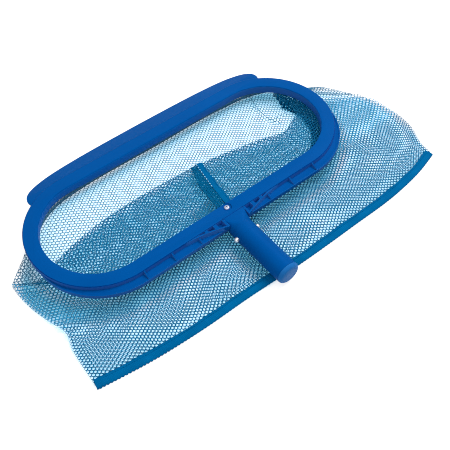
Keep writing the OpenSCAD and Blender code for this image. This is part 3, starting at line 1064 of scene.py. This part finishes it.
        def spot(u: np.ndarray, v: np.ndarray) -> np.ndarray:
            """Pleats the cloth.

            Args:
                u: Distance across the cloth.
                v: Distance down from the mouth.

            Returns:
                The points in space.
            """
            turn = first + (last - first) * np.clip(u / width, 0, 1)
            down = np.clip(v / depth, 0, 1)
            end = ease((turn - first) / 0.3) * ease((last - turn) / 0.3)
            wave = u / self.pleat * math.tau
            pleat = np.sin(wave + 1.3 * np.sin(u / 31)) * (0.5 + 1.9 * down)
            turn = turn + 0.9 * np.sin(wave * 2) * down / shape.mouth_r
            r = shape.mouth_r - 1.2 - 10.5 * ease(down) * end + pleat * (0.35 + 0.65 * end)
            z = shape.mouth_z + 0.6 - v * (0.25 + 0.45 * end) - 2.0 * down
            x = HALF_STRAIGHT + r * np.cos(turn)
            return np.stack([x, r * np.sin(turn), np.maximum(z, shape.back_z + 1.6)], -1)

        def place(u: np.ndarray, v: np.ndarray) -> tuple[np.ndarray, np.ndarray]:
            """Lays flat cloth in the pleats."""
            across, along = spot(u + 0.4, v) - spot(u - 0.4, v), spot(u, v + 0.4) - spot(u, v - 0.4)
            return spot(u, v), -unit(np.cross(across, along))

        cells = self.lattice(range(int(width / self.pitch[0])), int(depth / self.pitch[1]), self.pitch)
        piece = self.knit("netting_end_gather", cells, self.pitch, self.gather_hole, place)
        self.declare(piece)
        return piece

    def seam_allowance(self) -> Piece:
        """Lays the turned-in edge of the netting beside the tape that covers the join.

        Returns:
            The netting piece.
        """
        shape, columns, length = self.shape, self.allowance_columns, self.allowance_length
        # Its cells are drawn together
        pitch = (self.pitch[0] * 0.62, self.pitch[1] * 0.62)

        def place(u: np.ndarray, v: np.ndarray) -> tuple[np.ndarray, np.ndarray]:
            """Lays flat cloth to the left of the join.

            Args:
                u: Distance across the cloth.
                v: Distance down from the mouth.

            Returns:
                The points in space, and the unit normals.
            """
            wide = 0.72 + 0.66 * np.sin(math.pi * 0.85 * (1 - v / length))
            side = shape.seam_line(v) - 3.4 - (columns * pitch[0] - u) * wide - 0.6 * np.sin(v / 7.0)
            base, inside = shape.beside_seam(side, v)
            lift = 0.7 + 0.25 * np.sin(v / 5.0 + u) + 0.2 * np.sin(u * 1.7)
            return base + inside * lift[:, None], inside

        cells = self.lattice(range(columns), int(length / pitch[1]), pitch)
        piece = self.knit("seam_allowance", cells, pitch, self.allowance_hole, place)
        self.declare(piece)
        return piece

    def build(self) -> list[Piece]:
        """Makes both walls, each in two pieces, the gathers and the seam allowance, and dresses them.

        Returns:
            The netting pieces.
        """
        total = round(self.shape.width / self.pitch[0])
        halves = {"left": range(total // 2), "right": range(total // 2, total)}
        layered, backlit, bunched = (finish.build() for finish in (self.layered, self.backlit, self.bunched))
        pieces = []
        for wall in Wall:
            for side, columns in halves.items():
                piece = self.wall_piece(f"netting_{wall.value}_{side}", wall, columns)
                dress(piece, layered if wall is Wall.FRONT else backlit)
                pieces.append(piece)
        pieces.append(self.end_gather())
        for piece in pieces:
            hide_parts("net_bag")
        pieces.append(self.seam_allowance())
        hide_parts("centre_seam")
        for piece in pieces[-2:]:
            dress(piece, bunched)
        return pieces


# ---------------------------------------------------------------- tapes, cord and thread


@dataclass
class Tapes:
    """What is sewn to the netting: the bands, the tape over the join, the welt cord and the stitches."""

    shape: BagShape
    # Woven closer than the netting and dyed with it, so it looks flat and solid beside it
    tape: Finish = WovenTape("woven_polyester_tape", "#006CA8", "#005A90")
    # Left undyed, so the stitches stand out as pale dashes
    bleached: Finish = WovenTape("bleached_polyester_thread", "#B4E8FF", "#84CCF4")
    # Undyed split film that is twisted up, off-white with a dull shine
    cord: Finish = WovenTape("twisted_polypropylene_cord", "#D8DCDF", "#C4C9CE")
    band_width: float = 10.0
    band_span: tuple[float, float] = (-236.0, 275.0)
    band_thick: float = 0.5
    # How far along the band's section from its front edge (1) round the fold (0), and the height above ground
    band_section: tuple = (
        (1.0, 2.9), (0.92, 3.35), (0.7, 3.7), (0.45, 3.8), (0.2, 3.3), (0.05, 2.5), (0.0, 1.5),
        (0.05, 0.7), (0.2, 0.45), (0.5, 0.4), (0.8, 0.4), (1.0, 0.5),
    )
    scallop: float = 4.2
    tape_width: float = 9.5
    # How much narrower half of the tape gets on each mm down
    tape_taper: float = 0.012
    tape_span: tuple[float, float] = (2.0, 112.0)
    tape_thick: float = 0.45
    # Distance from the line between the ring's ends, and height, round the folded edge in the channel
    mouth_section: tuple = (
        (73.1, -12.6), (73.1, -9.0), (73.4, -7.0), (74.4, -5.75), (75.5, -5.65), (76.6, -5.9), (77.0, -7.0),
        (76.9, -8.0),
    )
    mouth_thick: float = 0.4
    welt_at: tuple[float, float] = (75.2, -7.6)
    welt_r: float = 1.05
    welt_turns: int = 110
    # Share of a stitch's length, its rise and its radius from where the thread comes up to where it goes down
    stitch: tuple = (
        (0.0, -0.45, 0.1), (0.12, 0.0, 0.17), (0.35, 0.22, 0.2),
        (0.65, 0.22, 0.2), (0.88, 0.0, 0.17), (1.0, -0.45, 0.1),
    )

    def strip_mesh(self, name: str, rows: Sequence[np.ndarray], thickness: float) -> Piece:
        """Makes a sheet from a grid of points and gives it a thickness.

        Args:
            name: The piece's name.
            rows: Points in mm, across the first axis and along the second.
            thickness: The cloth's thickness in mm.

        Returns:
            The piece, with Solidify applied.
        """
        rows = np.array(rows)
        number = np.arange(rows[..., 0].size).reshape(rows.shape[:2])
        across = np.concatenate([[0], np.cumsum(np.linalg.norm(np.diff(rows, axis=0), axis=2).mean(1))])
        along = np.concatenate([[0], np.cumsum(np.linalg.norm(np.diff(rows, axis=1), axis=2).mean(0))])
        cloth = np.stack(np.meshgrid(across, along, indexing="ij"), -1).reshape(-1, 2)
        piece = mesh_object(name, rows.reshape(-1, 3), strip_faces(number), cloth)
        solid = piece.modifiers.new("thickness", "SOLIDIFY")
        solid.thickness = thickness * MM
        solid.offset = 0.0
        bpy.context.view_layer.objects.active = piece
        bpy.ops.object.modifier_apply(modifier=solid.name)
        return piece

    def bottom_band(self) -> Piece:
        """Folds the band round the bottom edges of both walls.

        Returns:
            The band.
        """
        x = np.linspace(*self.band_span, 520)
        edge = table(self.shape.hem_line, x)
        slope = np.gradient(edge, x)
        inward = np.stack([-slope, np.ones_like(x)], -1) / np.hypot(slope, 1)[:, None]
        bumpy = 0.5 + 0.8 * ease((-110 - x) / 60)
        wave = 0.5 * np.sin(x / 9.0) * np.sin(x / 23.0) + 0.6 * bumpy * np.abs(np.sin(np.pi * x / 3.28))
        # The netting's cells press through the fold and scallop its edge
        scallop = bumpy * np.abs(np.sin(np.pi * x / self.scallop + 0.6 * np.sin(x / 31)))
        end = ease((-224 - x) / 4) * 0.9
        rows = []
        for share, height in self.band_section:
            reach = share * (self.band_width + wave * share) - scallop * (1 - share) ** 2
            xy = np.stack([x, edge], -1) + inward * reach[:, None]
            puff = 1 + 0.12 * np.sin(x / 5.1 + 2 * share) * np.sin(np.pi * share)
            rows.append(np.stack([xy[:, 0], xy[:, 1], GROUND_Z + height * puff + end * (height > 2)], -1))
        piece = self.strip_mesh("bottom_band", rows, self.band_thick)
        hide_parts("bottom_hem")
        return piece

    def seam_tape(self) -> Piece:
        """Lays the tape over the join, from the mouth over the fold.

        Returns:
            The tape.
        """
        down = np.arange(*self.tape_span, 1.2)
        rows = []
        for k in np.linspace(-1, 1, 7):
            base, inside = self.shape.beside_seam(self.across_tape(k, down), down)
            lift = 1.15 + 0.4 * (1 - k * k) + 0.2 * np.sin(down / 4.3 + k)
            rows.append(base + inside * lift[:, None])
        piece = self.strip_mesh("seam_tape", rows, self.tape_thick)
        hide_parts("centre_seam")
        return piece

    def across_tape(self, k: float, down: np.ndarray) -> np.ndarray:
        """Distance across the cloth of a line along the tape, from its left edge (-1) to its right (1)."""
        return self.shape.seam_line(down) + k * (self.tape_width / 2 - self.tape_taper * down)

    def mouth_band(self) -> Piece:
        """Folds the bag's edge up and over the welt cord, all round the mouth.

        Returns:
            The folded edge.
        """
        rows = [stadium(r, z, 240) for r, z in self.mouth_section]
        piece = self.strip_mesh("mouth_band", rows, self.mouth_thick)
        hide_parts("mouth_hem")
        return piece

    def welt(self) -> Piece:
        """Lays the twisted welt cord in the fold of the bag's edge.

        Returns:
            The cord.
        """
        steps, sides, strands = 700, 12, 3
        line = stadium(*self.welt_at, steps)
        along = np.gradient(line, axis=0)
        side = np.cross(along / np.linalg.norm(along, axis=1)[:, None], UP)
        turn = np.arange(steps + 1) / steps * math.tau * self.welt_turns
        rows = []
        for a in np.arange(sides) / sides * math.tau:
            r = self.welt_r + 0.12 * np.cos(strands * (a - turn / strands))
            rows.append(line + side * (r * np.cos(a))[:, None] + UP * (r * np.sin(a))[:, None])
        points = np.array(rows).reshape(-1, 3)
        # The last point of a row lies on the first, so the faces close on that one
        number = np.arange(len(points)).reshape(sides, -1)[:, :-1]
        number = np.pad(number, ((0, 1), (0, 1)), "wrap")
        piece = mesh_object("welt_cord", points, strip_faces(number), points[:, :2])
        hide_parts("rim_cord")
        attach(piece, "skimmer")
        return piece

    def stitches(self) -> tuple[Piece, Piece]:
        """Sews the band and the tape with sunken stitches, and the tape's edge with bulky ones over it.

        Returns:
            The rows in dyed thread and the row in bleached thread.
        """
        shape = self.shape
        x = np.arange(-232, 272, 0.25)
        lift = GROUND_Z + 4.05 + 0.45 * np.sin(x / 5.1 + 1.4)
        runs = [np.stack([x, table(shape.hem_line, x) + self.band_width - 2.6, lift], -1)]
        down = np.arange(4.0, 108.0, 0.25)
        for k, part in ((0.6, down), (-1.0, down[down > 44])):
            base, inside = shape.beside_seam(self.across_tape(k, part), part)
            runs.append(base + inside * 1.7)
        return (
            self.thread("lock_stitches", runs[:2], 1.0, 3.2, 0.86),
            self.thread("over_edge_stitches", runs[2:], 3.6, 4.6, 0.5),
        )

    def thread(self, name: str, runs: Sequence[np.ndarray], bulk: float, step: float, share: float) -> Piece:
        """Makes short stitches along lines.

        Args:
            name: The piece's name.
            runs: Lines of points in mm.
            bulk: Thickness of the thread, as a multiple of the usual one.
            step: Distance from stitch to stitch in mm.
            share: Length of a stitch as a share of the distance between stitches.

        Returns:
            The stitches as one piece.
        """
        at, rise, radius = np.array(self.stitch).T
        turn = np.arange(6) / 6 * math.tau
        spines = []
        for run in runs:
            gone = np.concatenate([[0], np.cumsum(np.linalg.norm(np.diff(run, axis=0), axis=1))])
            for start in np.arange(0, gone[-1] - step, step):
                places = start + step * at * share
                spine = np.stack([np.interp(places, gone, run[:, i]) for i in range(3)], -1)
                spines.append(spine + rise[:, None] * UP)
        spines = np.array(spines)
        side = unit(np.cross(spines[:, -1] - spines[:, 0], UP))[:, None, None]
        ring = side * np.cos(turn)[:, None] + UP * np.sin(turn)[:, None]
        points = (spines[:, :, None] + ring * bulk * radius[:, None, None]).reshape(-1, 3)
        number = np.pad(np.arange(36).reshape(6, 6), ((0, 0), (0, 1)), "wrap")
        tube = strip_faces(number)[:, [0, 3, 2, 1]]
        ends = [(0, 1, 2, 3), (0, 3, 4, 5), (33, 32, 31, 30), (35, 34, 33, 30)]
        faces = np.concatenate([tube, ends]) + 36 * np.arange(len(spines))[:, None, None]
        return mesh_object(name, points, faces.reshape(-1, 4), points[:, :2])

    def build(self) -> list[Piece]:
        """Makes and dresses what is sewn to the netting.

        Returns:
            The pieces.
        """
        dyed, bleached = self.tape.build(), self.bleached.build()
        sewn = [self.bottom_band(), self.seam_tape(), self.mouth_band(), *self.stitches()]
        for piece in sewn:
            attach(piece, "skimmer")
            dress(piece, dyed)
        dress(sewn[-1], bleached)
        welt = self.welt()
        dress(welt, self.cord.build())
        return [*sewn, welt]


# ---------------------------------------------------------------- mouldings and metal


@dataclass
class Mouldings:
    """The moulded pieces, with the small radii that a mould leaves on every edge. Sizes in mm."""

    nodes: dict
    # Coloured in the mass, so it is one deep blue all through, with a satin sheen
    skin: Finish = MouldedPlastic("moulded_polypropylene_blue", "#0055A2", "#004F9A")
    # Painted highlight: a radius turns to every lamp, so the rounded edges are painted as lighter lines
    edge: Finish = MouldedPlastic("mould_radius_painted_highlight", "#2470B8", "#1C68B0")
    # Painted highlight: the crests of the ribs and gussets are painted a whitish blue
    crest: Finish = MouldedPlastic("crest_painted_highlight", "#5C9CE0", "#5492D6")
    # Painted light: the walls below the deck see more of the netting than of the lamps, so they are painted a
    # paler blue than the deck
    recess: Finish = MouldedPlastic("recess_wall_painted_light", "#2868B8", "#2460AE")
    # Painted light: the throat wall is painted a paler blue than the deck, and a deeper blue towards the
    # ring's left end
    throat: Finish = MouldedPlastic("throat_wall_painted_light", "#2868B8", "#2460AE", left="#0866C0")
    # Painted shade: where no light gets in, the clamp ring is painted a dark violet blue
    hidden: Finish = MouldedPlastic("hidden_part_painted_shade", "#33307F", "#2B2A74")
    radius: float = 0.5
    # The angle in degrees from which an edge is rounded
    sharp: float = 38.0
    # On this side of the ring its ledge has the ribs and gussets
    rib_y: float = -88.5
    # Distances from the line between the ring's round ends: the throat's wall, and the walls under the ledge
    throat_r: float = 77.0
    recess_r: tuple[float, float] = (86.0, 98.0)
    recess_y: float = 20.0

    def rounded(self, name: str, materials: Sequence[Material]) -> Piece:
        """Copies a solid, joins its faces and rounds its edges.

        Args:
            name: The solid's name.
            materials: Materials of its faces, of the rounded edges, and any others.

        Returns:
            The rounded piece.
        """
        piece = bpy.data.objects.new(f"{name}_moulding", self.nodes[name].data.copy())
        bpy.context.scene.collection.objects.link(piece)
        bpy.ops.object.select_all(action="DESELECT")
        piece.select_set(True)
        bpy.context.view_layer.objects.active = piece
        piece.data.materials.clear()
        for material in materials:
            piece.data.materials.append(material)
        bpy.ops.object.mode_set(mode="EDIT")
        bpy.ops.mesh.select_all(action="SELECT")
        bpy.ops.mesh.remove_doubles(threshold=0.00001)
        bpy.ops.mesh.dissolve_limited(angle_limit=math.radians(0.6))
        bpy.ops.object.mode_set(mode="OBJECT")
        piece.data.polygons.foreach_set("material_index", np.zeros(len(piece.data.polygons), np.int32))
        bevel = piece.modifiers.new("mould_radius", "BEVEL")
        bevel.width = self.radius * MM
        bevel.segments = 2
        bevel.limit_method = "ANGLE"
        bevel.angle_limit = math.radians(self.sharp)
        # Painted highlight: the rounded edges take the second, lighter material
        bevel.material = 1
        bpy.ops.object.modifier_apply(modifier=bevel.name)
        if name == "frame":
            self.shade_walls(piece)
        bpy.ops.object.shade_smooth_by_angle(angle=math.radians(self.sharp))
        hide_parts(name)
        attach(piece, "skimmer")
        return piece

    def shade_walls(self, ring: Piece) -> None:
        """Gives the ring's rib crests their painted highlight, and its recess walls and throat wall their
        painted light, each as its own material.

        Args:
            ring: The rounded ring, whose materials are skin, edge, crest, recess and throat.
        """
        for face in ring.data.polygons:
            x, y, z = np.array(face.center) / MM - RING_MIDDLE
            from_axis = math.hypot(max(abs(x) - HALF_STRAIGHT, 0), y)
            wall = face.material_index == 0 and face.normal.z < 0.5 and z < -1.0
            if face.material_index == 1 and y < self.rib_y:
                face.material_index = 2
            elif wall and self.recess_r[0] < from_axis < self.recess_r[1] and y < self.recess_y:
                face.material_index = 3
            elif wall and from_axis < self.throat_r:
                face.material_index = 4

    def build(self) -> list[Piece]:
        """Makes the ring, the handle, its cap and the clamp ring.

        Returns:
            The moulded pieces.
        """
        finishes = (self.skin, self.edge, self.crest, self.recess, self.throat, self.hidden)
        skin, edge, crest, recess, throat, hidden = (finish.build() for finish in finishes)
        return [
            self.rounded("frame", (skin, edge, crest, recess, throat)),
            self.rounded("handle", (skin, edge)),
            # Painted light: the whole end cap wears the lighter edge colour
            self.rounded("end_cap", (edge, edge)),
            self.rounded("net_clamp_ring", (hidden, hidden)),
        ]


@dataclass
class Metalwork:
    """The screw and the lock clip, which keep their solids' shapes."""

    nodes: dict
    # Bright zinc with a bluish cast
    screw: Finish = PlatedHead("zinc_plated_steel", (0.0, 74.0, 13.0))
    # Blank rolled strip, grey with fine streaks
    spring: Finish = DrawnMetal("spring_steel_strip", "#C3C7CB", "#A4A8AC", 0.28)
    # Polished nickel that the pole has dulled, nearly white
    button: Finish = DrawnMetal("nickel_plated_brass", "#FFFFFF", "#F4F6FA", 0.34, metallic=0.85)

    def build(self) -> list[Piece]:
        """Dresses the metal pieces.

        Returns:
            The pieces.
        """
        dressed = []
        for finish, names in (
            (self.screw, ("handle_screw",)),
            (self.spring, ("spring_bow", "left_spring_arm", "right_spring_arm")),
            (self.button, ("left_button", "right_button")),
        ):
            material = finish.build()
            for name in names:
                dress(self.nodes[name], material)
                dressed.append(self.nodes[name])
        return dressed


# ---------------------------------------------------------------- studio


@dataclass(frozen=True)
class MattFloor(Finish):
    """White painted board, which keeps the object's shadow.

    The netting is translucent, so its shade on the floor is cyan, not grey. Under the bag the floor is
    therefore painted warm and given a painted cyan glow for that light, which gives white in full light.
    Sizes in mm.
    """

    open_base: str = "#CCCCCC"
    open_glow: str = "#D8D8D8"
    bag_base: str = "#F6D6CB"
    bag_glow: str = "#55C0E7"
    # Painted shadow: in the mouldings' own shade, which is no longer coloured by the netting, the floor is
    # painted cool and its glow dimmed by this share
    shade_base: str = "#A9CAD8"
    shade_dims: float = 0.5
    bag_outline: tuple = (
        (-238, -158), (-115, -174), (60, -178), (196, -176), (278, -160), (292, -120), (294, -60), (284, -12),
        (240, 38), (184, 78), (132, 87), (-150, 82), (-209, 44), (-246, -6),
    )
    # From where the outline fades in to where it is full
    fade: tuple[float, float] = (-2.0, 8.0)
    # Where the painted shadow lies: the ring's middle line, and the handle as a band to the left of its axis
    # that ends under the ring
    ring_r: float = 95.0
    handle_x: float = -8.0
    handle_half: float = 4.0
    handle_end: float = 100.0
    # How far the painted shadow is shifted, and how far it spreads, for the colour and for the dimming
    base_aside: tuple[float, float] = (-12.0, -2.0)
    base_reach: float = 14.0
    dim_aside: tuple[float, float] = (-6.0, -2.0)
    dim_reach: float = 20.0
    shade_fade: float = 8.0

    def below_bag(self, tree: Tree, place: Socket) -> Node:
        """Adds nodes that tell the floor under the bag, 1, from the rest, 0.

        Args:
            tree: The floor's node tree.
            place: The floor's own coordinates.

        Returns:
            The node that gives the share.
        """
        under = 1.0
        corners = [(RING_MIDDLE[:2] + corner) * MM for corner in self.bag_outline]
        for here, there in zip(corners, corners[1:] + corners[:1]):
            inward = np.array((here[1] - there[1], there[0] - here[0])) / np.hypot(*(there - here))
            level = float(inward @ here)
            reach = add_node(tree, "VectorMath", {"operation": "DOT_PRODUCT"}, {0: place, 1: (*inward, 0.0)})
            low, high = (level + v * MM for v in self.fade)
            limits = {"From Min": low, "From Max": high}
            inside = add_node(tree, "MapRange", inputs={"Value": reach.outputs["Value"], **limits})
            under = add_node(tree, "Math", {"operation": "MULTIPLY"}, {0: under, 1: inside})
        return under

    def below_mouldings(self, tree: Tree, place: Socket, aside: Sequence[float], reach: float) -> Node:
        """Adds nodes that tell the floor in the painted shadow of the ring and the handle, 1, from the rest,
        0.

        Args:
            tree: The floor's node tree.
            place: The floor's own coordinates.
            aside: How far the shade is shifted in X and Y.
            reach: How far it spreads from the ring's middle line.

        Returns:
            The node that gives the share.
        """

        def beyond(value: Socket | Node, line: float, fold: bool) -> Node:
            """How far a distance is past a line, or off it to either side."""
            past = add_node(tree, "Math", {"operation": "SUBTRACT"}, {0: value, 1: line * MM})
            return add_node(tree, "Math", {"operation": "ABSOLUTE"}, {0: past}) if fold else past

        from_ring = beyond(from_long_axis(tree, place, aside), self.ring_r, True)
        parts = add_node(tree, "SeparateXYZ", inputs={0: place})
        across = beyond(beyond(parts.outputs["X"], self.handle_x, True), self.handle_half, False)
        along = beyond(parts.outputs["Y"], self.handle_end, False)
        from_handle = add_node(tree, "Math", {"operation": "MAXIMUM"}, {0: across, 1: along})
        away = add_node(tree, "Math", {"operation": "MINIMUM"}, {0: from_ring, 1: from_handle})
        limits = {"From Min": reach * MM, "From Max": (reach - self.shade_fade) * MM}
        return add_node(tree, "MapRange", inputs={"Value": away, **limits})

    def skin(self, tree: Tree) -> dict:
        """Adds the colours, the painted cyan glow and the painted shadow, which only the camera and mirroring
        surfaces see.

        Args:
            tree: The material's node tree.

        Returns:
            What the shader's inputs get, by name.
        """
        times, mix = {"operation": "MULTIPLY"}, {"data_type": "RGBA"}
        ray = add_node(tree, "LightPath")
        eyes = {0: ray.outputs["Is Camera Ray"], 1: ray.outputs["Is Glossy Ray"]}
        seen = add_node(tree, "Math", {"operation": "MAXIMUM"}, eyes)
        place = add_node(tree, "TexCoord").outputs["Object"]
        under = self.below_bag(tree, place)
        # Painted shadow under the mouldings: a cooler base colour and a dimmer glow
        cool = self.below_mouldings(tree, place, self.base_aside, self.base_reach)
        dark = self.below_mouldings(tree, place, self.dim_aside, self.dim_reach)
        below = add_node(tree, "Mix", mix, {0: cool, 6: linear(self.bag_base), 7: linear(self.shade_base)})
        tint = add_node(tree, "Math", times, {0: under, 1: seen})
        base = add_node(tree, "Mix", mix, {0: tint, 6: linear(self.open_base), 7: below.outputs[2]})
        # Painted light: the cyan glow under the bag
        glow = add_node(tree, "Mix", mix, {0: under, 6: linear(self.open_glow), 7: linear(self.bag_glow)})
        shade = add_node(tree, "Math", times, {0: dark, 1: under})
        left = add_node(tree, "Math", {"operation": "MULTIPLY_ADD"}, {0: shade, 1: -self.shade_dims, 2: 1.0})
        return {
            "Base Color": base.outputs[2],
            "Emission Color": glow.outputs[2],
            "Emission Strength": add_node(tree, "Math", times, {0: left, 1: seen}),
            "Roughness": 0.9,
            "Specular IOR Level": 0.1,
        }


@dataclass
class Studio:
    """Pale floor, soft lamps and the camera. Places and sizes in metres, angles in degrees."""

    camera_at: tuple = (-0.3032, -0.3134, 0.6264)
    azimuth: float = -37.747
    elevation: float = 52.802
    roll: float = -1.343
    lens: float = 53.745
    floor_size: float = 8.0
    # Name, place, size and power of each lamp, and the point that they all face
    lamps: tuple = (("key", (0.8, 0.1, 1.42), 0.9, 16.8), ("fill", (-0.7, -0.4, 1.5), 1.6, 8.0))
    lamps_face: tuple = (0, 0.12, 0)
    # Strength of the world on the object. The camera sees it at 1, which is white.
    sky: float = 0.45

    def add_camera(self) -> None:
        """Makes the camera at its viewing angle."""
        a, e, r = (math.radians(v) for v in (self.azimuth, self.elevation, self.roll))
        back = Vector((math.sin(a) * math.cos(e), -math.cos(a) * math.cos(e), math.sin(e)))
        right = (-back).cross(Vector(UP)).normalized()
        up = right.cross(-back)
        x = right * math.cos(r) + up * math.sin(r)
        y = up * math.cos(r) - right * math.sin(r)
        data = bpy.data.cameras.new("camera")
        data.lens, data.sensor_width, data.clip_end = self.lens, 36.0, 50.0
        camera = bpy.data.objects.new("camera", data)
        camera.matrix_world = Matrix((x, y, back)).transposed().to_4x4()
        camera.location = self.camera_at
        bpy.context.scene.collection.objects.link(camera)
        bpy.context.scene.camera = camera

    def add_floor(self) -> None:
        """Makes the floor, level with the ground that the bag lies on."""
        bpy.ops.object.select_all(action="DESELECT")
        level = (RING_MIDDLE[2] + GROUND_Z) * MM
        bpy.ops.mesh.primitive_plane_add(size=self.floor_size, location=(0, 0, level))
        floor = bpy.context.object
        floor.name = "floor"
        dress(floor, MattFloor("matt_white_floor").build())

    def add_light(self) -> None:
        """Makes a large soft key over the scene, a weaker fill, and a plain white world."""
        world = bpy.data.worlds.new("studio")
        bpy.context.scene.world = world
        world.use_nodes = True
        tree = world.node_tree
        tree.nodes.clear()
        ray = add_node(tree, "LightPath").outputs["Is Camera Ray"]
        level = add_node(tree, "MapRange", inputs={"Value": ray, "To Min": self.sky, "To Max": 1.0})
        sky = add_node(tree, "Background", inputs={"Color": (1, 1, 1, 1), "Strength": level})
        add_node(tree, "OutputWorld", inputs={"Surface": sky})
        for name, place, size, power in self.lamps:
            data = bpy.data.lights.new(name, "AREA")
            data.size, data.energy = size, power
            lamp = bpy.data.objects.new(name, data)
            lamp.location = place
            aim = Vector(self.lamps_face) - Vector(place)
            lamp.rotation_euler = aim.to_track_quat("-Z", "Y").to_euler()
            bpy.context.scene.collection.objects.link(lamp)

    def build(self) -> None:
        """Makes the whole studio."""
        self.add_camera()
        self.add_floor()
        self.add_light()
        scene = bpy.context.scene
        scene.view_settings.view_transform = "Standard"
        # A narrow pixel filter and an unblurred guide for the denoiser keep the netting's holes apart
        scene.cycles.filter_width = 1.0
        scene.cycles.denoising_prefilter = "NONE"


# ---------------------------------------------------------------- main


def main() -> None:
    """Builds the object's looks round the frame."""
    logging.basicConfig(level=logging.INFO, format="%(name)s: %(message)s")
    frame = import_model()
    nodes = frame["nodes"]

    shape = BagShape()
    shape.build()
    for sub_assembly in (Mouldings(nodes), Metalwork(nodes), Netting(shape), Tapes(shape)):
        for piece in sub_assembly.build():
            LOG.info("%s: %d faces", piece.name, len(piece.data.polygons))

    Studio().build()


if __name__ == "__main__":
    main()
